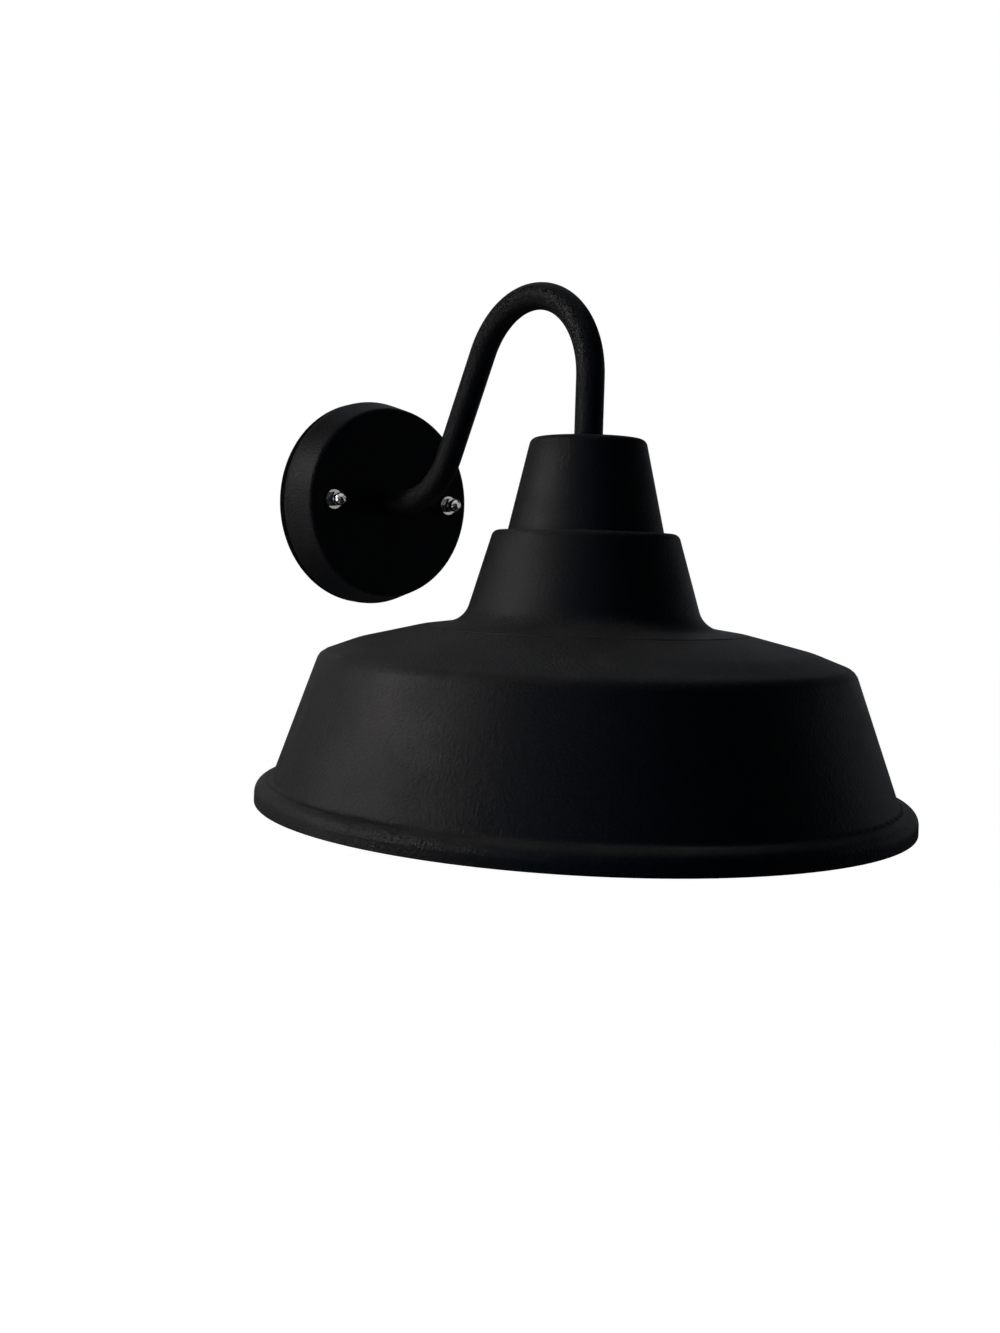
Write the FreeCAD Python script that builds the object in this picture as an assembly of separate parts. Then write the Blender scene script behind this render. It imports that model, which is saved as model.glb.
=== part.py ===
import FreeCAD, Part
import math
import os

# Outdoor wall lamp: a round canopy on the wall, a gooseneck arm and a stepped shade.
# Sizes are in millimetres and +Z is up. The origin is the canopy's centre on the wall.
# The wall is the plane y = 0, and "out" is the distance from it, along -Y.

# Canopy, a pressed dish, and the rubber gasket behind it
canopy_radius = 60.0
canopy_taper = 5.0
canopy_depth = 26.5
canopy_lip = 2.0
canopy_sheet = 1.5
canopy_edge_round = 3.0
gasket_thickness = 5.5
gasket_width = 8.5
gasket_inset = 0.3

# Mounting bracket, a flat crossbar with a tongue above and below
bracket_thickness = 2.0
bracket_width = 22.0
stud_edge_distance = 19.5
slot_to_stud = 14.5
slot_length = 14.0
slot_width = 4.8
cable_hole_radius = 7.0
block_tongue_width = 26.0
block_tongue_rise = 25.0
earth_tongue_width = 16.0
earth_tongue_drop = 19.0
tongue_corner = 3.0
end_round_share = 0.45

# Studs with their seals, plated washers and domed nuts
stud_radius = 2.5
stud_head_radius = 3.9
stud_head_thickness = 1.4
stud_hole_clearance = 0.25
stud_engagement = 6.5
stud_seal_radius = 5.0
stud_seal_thickness = 1.0
cap_washer_radius = 5.5
cap_washer_thickness = 1.0
cap_washer_clearance = 0.1
cap_nut_flats = 8.0
cap_nut_hexagon = 4.2
cap_nut_neck = 2.0
cap_nut_dome_radius = 3.7
cap_nut_hole_spare = 0.8
thread_clearance = 0.05
hexagon_chamfer_angle = 30.0
cap_nut_dome_share = 0.98

# Gooseneck arm, a bent tube tapped at both ends
axis_reach = 194.5
arm_peak = 103.7
arm_slant = 63.2
arm_straight = 14.2
arm_radius = 7.0
arm_wall = 2.5
arm_thread_depth = 10.0
arm_seal_thickness = 1.0

# Threaded nipples in the arm's ends
nipple_radius = 5.0
nipple_bore = 3.5
nipple_grip = 9.5
nipple_hole_clearance = 0.1
nipple_spare = 1.0
lock_washer_radius = 8.5
lock_washer_thickness = 1.0
lock_washer_teeth = 16
lock_washer_notch = 1.2
lock_washer_tooth = 1.6
nipple_nut_flats = 14.0
nipple_nut_height = 4.0
bush_bore = 2.7
bush_depth = 6.0
bush_flange_radius = 4.8
bush_flange_thickness = 1.0

# Terminal block with three poles
terminal_pitch = 9.0
terminal_height = 26.0
sleeve_radius = 2.5
sleeve_bore = 1.5
sleeve_length = 14.0
sleeve_stand_off = 6.0
block_width = 29.0
block_height = 16.0
block_depth = 13.0
block_round = 1.0
clamp_screw_radius = 1.5
clamp_screw_length = 4.2
clamp_screw_pitch = 8.0
clamp_well_radius = 1.9
block_screw_radius = 1.5
block_screw_head_radius = 2.4
block_screw_head_height = 1.8
screw_tip_gap = 0.2

# Earth screw, its cup washer and the ring terminal under it
earth_drop = 22.0
earth_screw_radius = 2.0
earth_screw_head_radius = 3.8
earth_screw_head_height = 2.6
cup_washer_radius = 4.2
cup_washer_thickness = 0.8
ring_radius = 4.0
ring_clearance = 0.1
ring_thickness = 0.8
ring_turn = 45.0
crimp_radius = 1.9
crimp_length = 6.0

# Wires: how far each run goes before it turns
wire_radius = 1.1
wire_half_pitch = 1.25
wire_block_drop = 3.0
wire_turn_gap = 7.5
wire_exit_drop = 1.5
wire_fan_height = 3.5
wire_fan_start = 3.5
wire_fan_end = 9.0
wire_past_screw = 3.0
earth_wire_reach = 16.0
earth_wire_side = 15.0
wire_bend_share = 0.45

# Shade cap, the cast upper cone, with three bosses for screws
cap_top_height = 28.5
cap_height = 45.5
cap_taper = 10.0
cap_wall = 2.0
cap_edge_round = 4.0
boss_count = 3
boss_radius = 4.5
boss_inset = 4.9
boss_height = 14.0
boss_screw_radius = 2.0
boss_screw_length = 10.0
boss_screw_head_radius = 4.0
boss_screw_head_height = 2.6
boss_hole_clearance = 0.2
boss_hole_spare = 1.5
cap_gasket_thickness = 1.0
cap_gasket_inner_margin = 0.5
cap_gasket_outer_gap = 0.4

# Shade neck, a spun sheet from the ledge under the cap to the flange round its foot
shade_sheet = 1.2
shade_hole_gap = 3.0
shade_hole_margin = 2.5
ledge_width = 7.0
neck_height = 44.6
neck_spread = 13.0
neck_edge_round = 4.0
neck_fillet = 12.0
flange_width = 21.1
flange_drop = 3.0
sheet_edge_share = 0.45

# Shade dish, a spun sheet with a step that the flange lies in, down to the flared rim
dish_hole_margin = 1.0
dish_step_gap = 0.3
dish_step_width = 0.8
dome_inner_width = 31.0
dome_inner_drop = 7.5
dome_outer_width = 18.0
dome_outer_drop = 6.85
dome_crease_round = 40.0
shoulder_round = 7.0
skirt_height = 61.5
skirt_spread = 21.2
skirt_fillet = 2.0
rim_width = 8.0
rim_height = 10.35
rim_round_share = 0.7

# Holder bracket, a steel arch on the lower nipple, and its screws
strap_sheet = 1.5
strap_width = 14.0
strap_half_span = 20.0
strap_height = 20.0
strap_foot = 11.0
strap_round = 2.0
strap_screw_inset = 6.5
strap_screw_radius = 2.0
strap_screw_length = 8.0
strap_screw_head_radius = 3.4
strap_screw_head_height = 2.2

# Lampholder: porcelain body, screw shell, centre contact, terminals and rivets
holder_radius = 21.0
holder_height = 44.0
holder_partition = 16.5
holder_edge_round = 1.5
cavity_radius = 16.0
shell_crest_radius = 13.4
shell_sheet = 0.4
shell_length = 20.0
shell_flange_radius = 6.5
thread_pitch = 3.63
thread_depth = 0.7
thread_round = 0.9
shell_turns = 5
leaf_width = 6.0
leaf_sheet = 0.5
leaf_drop = 3.5
leaf_rise = 0.8
leaf_foot_outer_margin = 2.5
leaf_foot_inner_margin = 3.5
leaf_tip = 4.0
leaf_round = 1.0
notch_clearance = 0.5
terminal_plate_width = 9.0
terminal_plate_margin = 4.0
terminal_plate_sheet = 1.0
terminal_screw_offset = 14.0
terminal_screw_radius = 1.6
terminal_screw_depth = 5.0
terminal_screw_head_radius = 3.4
terminal_screw_head_height = 2.0
terminal_wire_clearance = 0.1
rivet_to_screw = 4.5
rivet_side_offset = 0.8
rivet_radius = 1.2
rivet_head_radius = 2.2
rivet_head_height = 0.8

# Lamp with its screw cap, housing, board and diffuser
lamp_gap = 0.2
button_radius = 3.0
button_height = 1.4
insulator_top_radius = 4.0
insulator_height = 3.0
lamp_cap_radius = 13.0
lamp_cap_sheet = 0.5
lamp_cap_turns = 4
lamp_cap_collar = 5.5
lamp_neck_spigot = 5.0
lamp_neck_radius = 14.5
lamp_neck_height = 4.0
lamp_housing_radius = 29.0
lamp_housing_height = 45.0
lamp_housing_rim = 6.0
lamp_housing_round = 20.0
lamp_housing_wall = 1.5
diffuser_radius = 30.0
diffuser_wall = 1.5
diffuser_spigot = 3.0
diffuser_spigot_gap = 0.2
board_thickness = 1.5
board_radius = 26.5
chip_count = 10
chip_size = 3.0
chip_height = 0.6
chip_circle = 17.0

# Screw heads, by their own radius and height
head_round_share = 0.5
slot_width_share = 0.3
slot_depth_share = 0.5

# Cutting shapes run past the faces that they cut by this much
overrun = 1.0

# Sizes and places worked out from the sizes above
canopy_face_radius = canopy_radius - canopy_taper
stud_offset = canopy_radius - stud_edge_distance
slot_offset = stud_offset - slot_to_stud
shade_hole_radius = holder_radius + shade_hole_gap
boss_circle = shade_hole_radius + shade_hole_margin + boss_radius
cap_base_radius = boss_circle + boss_inset + cap_wall
cap_top_radius = cap_base_radius - cap_taper
strap_screw_offset = strap_half_span - strap_screw_inset
rivet_offset = terminal_screw_offset - rivet_to_screw
leaf_foot_start = rivet_offset + leaf_foot_outer_margin
leaf_foot_end = rivet_offset - leaf_foot_inner_margin
ledge_height = cap_top_height - cap_height
neck_base_radius = cap_base_radius + ledge_width + neck_spread
neck_foot_height = ledge_height - neck_height
flange_radius = neck_base_radius + flange_width
flange_edge_height = neck_foot_height - flange_drop
cap_underside = cap_top_height - cap_wall
arm_start = canopy_depth + arm_seal_thickness
arm_end_height = cap_top_height + arm_seal_thickness
arm_bore = arm_radius - arm_wall
shade_axis_y = -axis_reach
holder_top = cap_underside - strap_height
holder_bottom = holder_top - holder_height
cavity_roof = holder_top - holder_partition
leaf_contact = cavity_roof - leaf_sheet - leaf_drop
lamp_top = leaf_contact - lamp_gap
lamp_cap_top = lamp_top - button_height - insulator_height
lamp_cap_length = lamp_cap_turns * thread_pitch + lamp_cap_collar
lamp_cap_bottom = lamp_cap_top - lamp_cap_length
housing_bottom = lamp_cap_bottom - lamp_housing_height
cap_nut_seat = canopy_depth + stud_seal_thickness + cap_washer_thickness
stud_end = cap_nut_seat + stud_engagement
nipple_stack = cap_wall + strap_sheet + lock_washer_thickness + nipple_nut_height
nipple_length = nipple_grip + arm_seal_thickness + nipple_stack + nipple_spare
canopy_nipple_end = arm_start + nipple_grip - nipple_length
shade_nipple_end = arm_end_height + nipple_grip - nipple_length


def bend_radius():
    """Radius of the arm's two bends, which brings its top to its peak over the shade's axis."""
    slant = math.radians(arm_slant)
    room = axis_reach - arm_start - arm_straight - arm_peak / math.tan(slant)
    return room / (1 + 2 * math.tan(slant / 2))


arm_bend_radius = bend_radius()

X = FreeCAD.Vector(1, 0, 0)
Y = FreeCAD.Vector(0, 1, 0)
Z = FreeCAD.Vector(0, 0, 1)
ORIGIN = FreeCAD.Vector(0, 0, 0)
SHADE_AXIS = FreeCAD.Vector(0, shade_axis_y, 0)


def at(x, out, z):
    """A point, given its distance out from the wall."""
    return FreeCAD.Vector(x, -out, z)


def wall_section(radius, out):
    """Section plane of the pieces that are round about the canopy's axis."""
    return FreeCAD.Vector(radius, -out, 0)


def shade_section(radius, height):
    """Section plane of the pieces that are round about the shade's axis."""
    return FreeCAD.Vector(radius, shade_axis_y, height)


def side_section(across, height):
    """Plane that runs from the wall through the shade's axis; across is towards the wall."""
    return FreeCAD.Vector(0, shade_axis_y + across, height)


def flat_section(across, along):
    """Plane of a shape that is made lying flat."""
    return FreeCAD.Vector(across, along, 0)


def axis_section(radius, height):
    """Section plane of a small round piece that is made on the Z axis and placed later."""
    return FreeCAD.Vector(radius, 0, height)


def corner_arc(before, corner, after, rounding):
    """Start, middle and end of the arc that rounds a corner."""
    back = (before - corner).normalize()
    ahead = (after - corner).normalize()
    half = back.getAngle(ahead) / 2
    tangent = rounding / math.tan(half)
    bisector = (back + ahead).normalize()
    middle = corner + bisector * (rounding / math.sin(half) - rounding)
    return corner + back * tangent, middle, corner + ahead * tangent


def rounded_wire(points, roundings, closed):
    """Straight runs through the points, joined by tangent arcs."""
    count = len(points)
    stops = []
    for i, (point, rounding) in enumerate(zip(points, roundings)):
        inner = closed or 0 < i < count - 1
        if rounding > 0 and inner:
            stops.append(corner_arc(points[i - 1], point, points[(i + 1) % count], rounding))
        else:
            stops.append((point,))
    edges = []
    for i, stop in enumerate(stops):
        if len(stop) == 3:
            edges.append(Part.Arc(*stop).toShape())
        if i + 1 < count or closed:
            following = stops[(i + 1) % count][0]
            if stop[-1].distanceToPoint(following) > Part.Precision.confusion():
                edges.append(Part.LineSegment(stop[-1], following).toShape())
    return Part.Wire(edges)


def face(outline, section):
    """Face inside a closed outline of (across, along, rounding) corners."""
    points = [section(across, along) for across, along, rounding in outline]
    roundings = [rounding for across, along, rounding in outline]
    return Part.Face(rounded_wire(points, roundings, True))


def offset_line(line, wall):
    """The line moved to its right by a wall, with its roundings to match."""
    normals = []
    for (a0, b0, r0), (a1, b1, r1) in zip(line[:-1], line[1:]):
        length = math.hypot(a1 - a0, b1 - b0)
        normals.append(((b1 - b0) / length, (a0 - a1) / length))
    moved = []
    for i, (a, b, rounding) in enumerate(line):
        first = normals[max(i - 1, 0)]
        second = normals[min(i, len(normals) - 1)]
        reach = wall / (1 + first[0] * second[0] + first[1] * second[1])
        turn = first[0] * second[1] - first[1] * second[0]
        change = wall if turn > 0 else -wall
        inner = max(rounding + change, 0) if rounding > 0 else 0
        moved.append((a + reach * (first[0] + second[0]), b + reach * (first[1] + second[1]), inner))
    return moved


def sheet_outline(line, wall, edge_rounding=0):
    """Closed outline of a sheet whose outer face follows the line."""
    outline = line + offset_line(line, wall)[::-1]
    ends = (0, len(line) - 1, len(line), len(outline) - 1)
    return [(a, b, edge_rounding if i in ends else r) for i, (a, b, r) in enumerate(outline)]


def solid_of(shape):
    """The shape with its faces pointing outwards."""
    if shape.Volume < 0:
        shape.reverse()
    return shape


def turned(outline, section, centre, axis):
    """Solid of revolution of an outline."""
    return solid_of(face(outline, section).revolve(centre, axis, 360))


def round_wall_piece(outline):
    return turned(outline, wall_section, ORIGIN, Y)


def round_shade_piece(outline):
    return turned(outline, shade_section, SHADE_AXIS, Z)


def plate(outline, thickness):
    """Flat plate made lying on z = 0, with its outline seen from above."""
    return solid_of(face(outline, flat_section).extrude(Z * thickness))


def rectangle(low_a, high_a, low_b, high_b, rounding=0):
    corners = [(low_a, low_b), (high_a, low_b), (high_a, high_b), (low_a, high_b)]
    return [(a, b, rounding) for a, b in corners]


def rod(radius, length, centre, axis):
    return Part.makeCylinder(radius, length, centre, axis)


def ring(outer_radius, inner_radius, length, centre, axis):
    """Plain ring or washer."""
    hole = rod(inner_radius, length + 2 * overrun, centre - axis * overrun, axis)
    return rod(outer_radius, length, centre, axis).cut(hole)


def facing_out(shape, place):
    """Turn a piece made along +Z so that it points out from the wall, and place it."""
    turned_shape = shape.copy()
    turned_shape.rotate(ORIGIN, X, 90)
    turned_shape.translate(place)
    return turned_shape


def placed(shape, place):
    moved = shape.copy()
    moved.translate(place)
    return moved


def on_shade_axis(across_x, across_y, height):
    """A point given from the shade's axis; across_y is towards the wall."""
    return FreeCAD.Vector(across_x, shade_axis_y + across_y, height)


def screw(radius, length, head_radius, head_height):
    """Slotted screw on the Z axis: its head stands on z = 0 and its shank goes down."""
    head_round = head_height * head_round_share
    outline = [(0, -length, 0), (radius, -length, 0), (radius, 0, 0), (head_radius, 0, 0),
               (head_radius, head_height, head_round), (0, head_height, 0)]
    body = turned(outline, axis_section, ORIGIN, Z)
    half_slot = head_radius * slot_width_share / 2
    slot_depth = head_height * slot_depth_share
    slot = Part.makeBox(2 * (head_radius + overrun), 2 * half_slot, slot_depth + overrun,
                        FreeCAD.Vector(-head_radius - overrun, -half_slot, head_height - slot_depth))
    return body.cut(slot)


def hexagon(flats, height):
    """Hexagonal prism on the Z axis with both ends chamfered."""
    corner = flats / math.sqrt(3)
    points = [FreeCAD.Vector(corner * math.cos(a), corner * math.sin(a), 0)
              for a in (math.radians(60 * i) for i in range(7))]
    prism = Part.Face(Part.makePolygon(points)).extrude(Z * height)
    chamfer = (corner - flats / 2) * math.tan(math.radians(hexagon_chamfer_angle))
    outline = [(0, 0, 0), (flats / 2, 0, 0), (corner, chamfer, 0), (corner, height - chamfer, 0),
               (flats / 2, height, 0), (0, height, 0)]
    return solid_of(prism).common(turned(outline, axis_section, ORIGIN, Z))


def wall_gasket():
    outer = canopy_radius - gasket_inset
    return ring(outer, canopy_radius - gasket_width, gasket_thickness, ORIGIN, -Y)


def canopy():
    """Pressed dish with a tapered side, a flat face, a centre hole and two stud holes."""
    hole = nipple_radius + nipple_hole_clearance
    line = [(hole, canopy_depth, 0), (canopy_face_radius, canopy_depth, canopy_edge_round),
            (canopy_radius, gasket_thickness + canopy_lip, canopy_lip),
            (canopy_radius, gasket_thickness, 0)]
    dish = round_wall_piece(sheet_outline(line, canopy_sheet))
    hole_radius = stud_radius + stud_hole_clearance
    for side in (-1, 1):
        centre = at(side * stud_offset, canopy_depth - canopy_sheet - overrun, 0)
        dish = dish.cut(rod(hole_radius, canopy_sheet + 2 * overrun, centre, -Y))
    return dish


def bracket_outline():
    """Crossbar with round ends, a tongue above for the terminal block and one below."""
    half_width = bracket_width / 2
    end = stud_offset + half_width - stud_head_radius
    top = half_width + block_tongue_rise
    bottom = -half_width - earth_tongue_drop
    end_round = half_width * end_round_share
    block_side = block_tongue_width / 2
    earth_side = earth_tongue_width / 2
    right = [(earth_side, bottom, tongue_corner), (earth_side, -half_width, tongue_corner),
             (end, -half_width, end_round), (end, half_width, end_round),
             (block_side, half_width, tongue_corner), (block_side, top, tongue_corner)]
    return right + [(-a, b, r) for a, b, r in right[::-1]]


def slot_cutter():
    """Round-ended slot for a wall screw, made on the Z axis."""
    half_length = slot_length / 2
    half_width = slot_width / 2
    straight = half_length - half_width
    length = bracket_thickness + 2 * overrun
    start = -Z * overrun
    corner = FreeCAD.Vector(-straight, -half_width, -overrun)
    box = Part.makeBox(2 * straight, slot_width, length, corner)
    ends = [rod(half_width, length, start + X * side * straight, Z) for side in (-1, 1)]
    return box.fuse(ends)


def mounting_bracket():
    flat = plate(bracket_outline(), bracket_thickness)
    through = bracket_thickness + 2 * overrun
    cutters = [rod(cable_hole_radius, through, -Z * overrun, Z)]
    for side in (-1, 1):
        cutters.append(placed(slot_cutter(), X * side * slot_offset))
        cutters.append(rod(stud_radius, through, FreeCAD.Vector(side * stud_offset, 0, -overrun), Z))
        recess = stud_head_thickness + overrun
        cutters.append(rod(stud_head_radius, recess, FreeCAD.Vector(side * stud_offset, 0, -overrun), Z))
        screw_place = FreeCAD.Vector(side * terminal_pitch / 2, terminal_height, -overrun)
        cutters.append(rod(block_screw_radius, through, screw_place, Z))
    cutters.append(rod(earth_screw_radius, through, FreeCAD.Vector(0, -earth_drop, -overrun), Z))
    return facing_out(flat.cut(cutters), ORIGIN)


def bracket_studs():
    """Two studs pressed in from the bracket's back, heads flush with it."""
    outline = [(0, 0, 0), (stud_head_radius, 0, 0), (stud_head_radius, stud_head_thickness, 0),
               (stud_radius, stud_head_thickness, 0), (stud_radius, stud_end, 0), (0, stud_end, 0)]
    stud = turned(outline, axis_section, ORIGIN, Z)
    return [facing_out(stud, at(side * stud_offset, 0, 0)) for side in (-1, 1)]


def stud_seals():
    places = [at(side * stud_offset, canopy_depth, 0) for side in (-1, 1)]
    return [ring(stud_seal_radius, stud_radius, stud_seal_thickness, place, -Y) for place in places]


def cap_washer(side):
    place = at(side * stud_offset, canopy_depth + stud_seal_thickness, 0)
    return ring(cap_washer_radius, stud_radius + cap_washer_clearance, cap_washer_thickness, place, -Y)


def cap_nut(side):
    """Hexagonal nut closed by a dome, with a blind hole for the stud."""
    neck_top = cap_nut_hexagon + cap_nut_neck
    dome = [(0, 0, 0), (cap_nut_dome_radius, 0, 0),
            (cap_nut_dome_radius, neck_top + cap_nut_dome_radius, cap_nut_dome_radius * cap_nut_dome_share),
            (0, neck_top + cap_nut_dome_radius, 0)]
    body = hexagon(cap_nut_flats, cap_nut_hexagon).fuse(turned(dome, axis_section, ORIGIN, Z))
    depth = stud_engagement + cap_nut_hole_spare
    hole = rod(stud_radius + thread_clearance, depth + overrun, -Z * overrun, Z)
    return facing_out(body.cut(hole), at(side * stud_offset, cap_nut_seat, 0))


def arm_corners(x):
    """Corners of the arm's centre line between its two ends, x to the side of its plane."""
    slant = math.radians(arm_slant)
    foot_out = arm_start + arm_straight + arm_bend_radius * math.tan(slant / 2)
    return [at(x, foot_out, 0), at(x, axis_reach, (axis_reach - foot_out) * math.tan(slant))]


def arm_wire():
    points = [at(0, arm_start, 0)] + arm_corners(0) + [at(0, axis_reach, arm_end_height)]
    return rounded_wire(points, [0, arm_bend_radius, arm_bend_radius, 0], False)


def swept(path, radius, start, direction):
    """Round bar of a radius along a path."""
    section = Part.Wire(Part.Circle(start, direction, radius).toShape())
    return solid_of(path.makePipeShell([section], True, False))


def gooseneck_arm():
    path = arm_wire()
    start = at(0, arm_start, 0)
    tube = swept(path, arm_radius, start, -Y).cut(swept(path, arm_bore, start, -Y))
    tube = tube.cut(rod(nipple_radius, arm_thread_depth + overrun, start + Y * overrun, -Y))
    lower = at(0, axis_reach, arm_end_height - overrun)
    return tube.cut(rod(nipple_radius, arm_thread_depth + overrun, lower, Z))


def arm_seals():
    upper = ring(arm_radius, nipple_radius, arm_seal_thickness, at(0, canopy_depth, 0), -Y)
    lower = ring(arm_radius, nipple_radius, arm_seal_thickness, on_shade_axis(0, 0, cap_top_height), Z)
    return [upper, lower]


def arm_nipples():
    upper = ring(nipple_radius, nipple_bore, nipple_length, at(0, canopy_nipple_end, 0), -Y)
    lower = ring(nipple_radius, nipple_bore, nipple_length, on_shade_axis(0, 0, shade_nipple_end), Z)
    return [upper, lower]


def lock_washer():
    """Washer with notches round its edge, made on the Z axis."""
    washer = ring(lock_washer_radius, nipple_radius, lock_washer_thickness, ORIGIN, Z)
    corner = FreeCAD.Vector(lock_washer_radius - lock_washer_tooth, -lock_washer_notch / 2, -overrun)
    through = lock_washer_thickness + 2 * overrun
    notch = Part.makeBox(lock_washer_tooth + overrun, lock_washer_notch, through, corner)
    notches = []
    for i in range(lock_washer_teeth):
        cutter = notch.copy()
        cutter.rotate(ORIGIN, Z, 360 * i / lock_washer_teeth)
        notches.append(cutter)
    return washer.cut(notches)


def nipple_washers():
    washer = lock_washer()
    upper_out = canopy_depth - canopy_sheet - lock_washer_thickness
    lower_height = cap_underside - strap_sheet - lock_washer_thickness
    return [facing_out(washer, at(0, upper_out, 0)), placed(washer, on_shade_axis(0, 0, lower_height))]


def nipple_nuts():
    bore = rod(nipple_radius, nipple_nut_height + 2 * overrun, -Z * overrun, Z)
    nut = hexagon(nipple_nut_flats, nipple_nut_height).cut(bore)
    upper_out = canopy_depth - canopy_sheet - lock_washer_thickness - nipple_nut_height
    lower_height = cap_underside - strap_sheet - lock_washer_thickness - nipple_nut_height
    return [facing_out(nut, at(0, upper_out, 0)), placed(nut, on_shade_axis(0, 0, lower_height))]


def wire_bushes():
    """Flanged bushes that keep the wires off the nipples' edges."""
    outline = [(bush_bore, -bush_flange_thickness, 0), (bush_flange_radius, -bush_flange_thickness, 0),
               (bush_flange_radius, 0, 0), (nipple_bore, 0, 0), (nipple_bore, bush_depth, 0),
               (bush_bore, bush_depth, 0)]
    bush = turned(outline, axis_section, ORIGIN, Z)
    upper = facing_out(bush, at(0, canopy_nipple_end, 0))
    return [upper, placed(bush, on_shade_axis(0, 0, shade_nipple_end))]


def pole_offsets():
    return [-terminal_pitch, 0, terminal_pitch]


def clamp_screw_places():
    """Sideways and upward place of each clamp screw in the terminal block."""
    heights = [terminal_height - clamp_screw_pitch / 2, terminal_height + clamp_screw_pitch / 2]
    return [(x, z) for x in pole_offsets() for z in heights]


def terminal_block():
    half_width = block_width / 2
    low = terminal_height - block_height / 2
    outline = rectangle(-half_width, half_width, low, low + block_height, block_round)
    body = facing_out(plate(outline, block_depth), at(0, bracket_thickness, 0))
    axis_out = bracket_thickness + sleeve_stand_off
    front = bracket_thickness + block_depth
    cutters = []
    for x in pole_offsets():
        cutters.append(rod(sleeve_radius, block_height + 2 * overrun, at(x, axis_out, low - overrun), Z))
    for x, z in clamp_screw_places():
        cutters.append(rod(clamp_well_radius, front - axis_out + overrun, at(x, axis_out, z), -Y))
    for side in (-1, 1):
        place = at(side * terminal_pitch / 2, bracket_thickness - overrun, terminal_height)
        cutters.append(rod(block_screw_radius, block_depth + 2 * overrun, place, -Y))
    return body.cut(cutters)


def terminal_sleeves():
    """Brass sleeves, each with two tapped holes for its clamp screws."""
    axis_out = bracket_thickness + sleeve_stand_off
    low = terminal_height - sleeve_length / 2
    sleeves = []
    for x in pole_offsets():
        sleeve = ring(sleeve_radius, sleeve_bore, sleeve_length, at(x, axis_out, low), Z)
        holes = [rod(clamp_screw_radius, sleeve_radius + overrun, at(x, axis_out, z), -Y)
                 for place_x, z in clamp_screw_places() if place_x == x]
        sleeves.append(sleeve.cut(holes))
    return sleeves


def terminal_clamp_screws():
    """Headless slotted screws that press on the wires."""
    tip_out = bracket_thickness + sleeve_stand_off + wire_radius + screw_tip_gap
    slot_depth = clamp_screw_radius * slot_depth_share
    slot_width = clamp_screw_radius * slot_width_share
    shank = rod(clamp_screw_radius, clamp_screw_length, ORIGIN, Z)
    slot = Part.makeBox(2 * (clamp_screw_radius + overrun), slot_width, slot_depth + overrun,
                        FreeCAD.Vector(-clamp_screw_radius - overrun, -slot_width / 2,
                                       clamp_screw_length - slot_depth))
    grub = shank.cut(slot)
    return [facing_out(grub, at(x, tip_out, z)) for x, z in clamp_screw_places()]


def terminal_block_screws():
    front = bracket_thickness + block_depth
    length = front - screw_tip_gap
    fixing = screw(block_screw_radius, length, block_screw_head_radius, block_screw_head_height)
    places = [at(side * terminal_pitch / 2, front, terminal_height) for side in (-1, 1)]
    return [facing_out(fixing, place) for place in places]


def earth_ring_terminal():
    """Flat ring with a crimped barrel that holds the earth wire."""
    eye = ring(ring_radius, earth_screw_radius + ring_clearance, ring_thickness, ORIGIN, Z)
    start = math.sqrt(ring_radius ** 2 - crimp_radius ** 2)
    neck = Part.makeBox(crimp_length / 2, 2 * crimp_radius, ring_thickness,
                        FreeCAD.Vector(start, -crimp_radius, 0))
    barrel_start = ring_radius + ring_thickness
    barrel = rod(crimp_radius, crimp_length, FreeCAD.Vector(barrel_start, 0, crimp_radius), X)
    bore_start = FreeCAD.Vector(barrel_start + ring_thickness, 0, crimp_radius)
    bore = rod(wire_radius, crimp_length + overrun, bore_start, X)
    lug = eye.fuse([neck, barrel]).cut(bore)
    lug.rotate(ORIGIN, Z, ring_turn)
    return facing_out(lug, at(0, bracket_thickness, -earth_drop))


def earth_cup_washer():
    out = bracket_thickness + ring_thickness
    return ring(cup_washer_radius, earth_screw_radius, cup_washer_thickness, at(0, out, -earth_drop), -Y)


def earth_screw():
    out = bracket_thickness + ring_thickness + cup_washer_thickness
    fixing = screw(earth_screw_radius, out - screw_tip_gap, earth_screw_head_radius, earth_screw_head_height)
    return facing_out(fixing, at(0, out, -earth_drop))


def route_roundings(points, fixed):
    """Rounding of each corner of a wire's route; fixed gives those of the arm's bends."""
    roundings = [0]
    for i in range(1, len(points) - 1):
        back = points[i - 1] - points[i]
        ahead = points[i + 1] - points[i]
        turn = math.pi - back.getAngle(ahead)
        shorter = min(back.Length, ahead.Length)
        roundings.append(fixed.get(i, wire_bend_share * shorter / math.tan(turn / 2)))
    return roundings + [0]


def wire_solid(points, fixed=None):
    roundings = route_roundings(points, fixed or {})
    path = rounded_wire(points, roundings, False)
    return swept(path, wire_radius, points[0], points[1] - points[0])


def pole_run(pole_x):
    """Points of a wire from inside its sleeve to below the terminal block."""
    axis_out = bracket_thickness + sleeve_stand_off
    below = terminal_height - block_height / 2 - wire_block_drop
    return [at(pole_x, axis_out, terminal_height), at(pole_x, axis_out, below)]


def terminal_run(side):
    """Points of a wire from the lower nipple's mouth to beside a terminal screw."""
    beside = side * (terminal_screw_radius + terminal_wire_clearance + wire_radius)
    height = holder_top + terminal_plate_sheet + wire_radius
    mouth = shade_nipple_end - wire_exit_drop
    return [on_shade_axis(side * wire_half_pitch, 0, mouth),
            on_shade_axis(side * wire_fan_start / 2, side * wire_fan_start, height + wire_fan_height),
            on_shade_axis(beside, side * wire_fan_end, height),
            on_shade_axis(beside, side * (terminal_screw_offset + wire_past_screw), height)]


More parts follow.
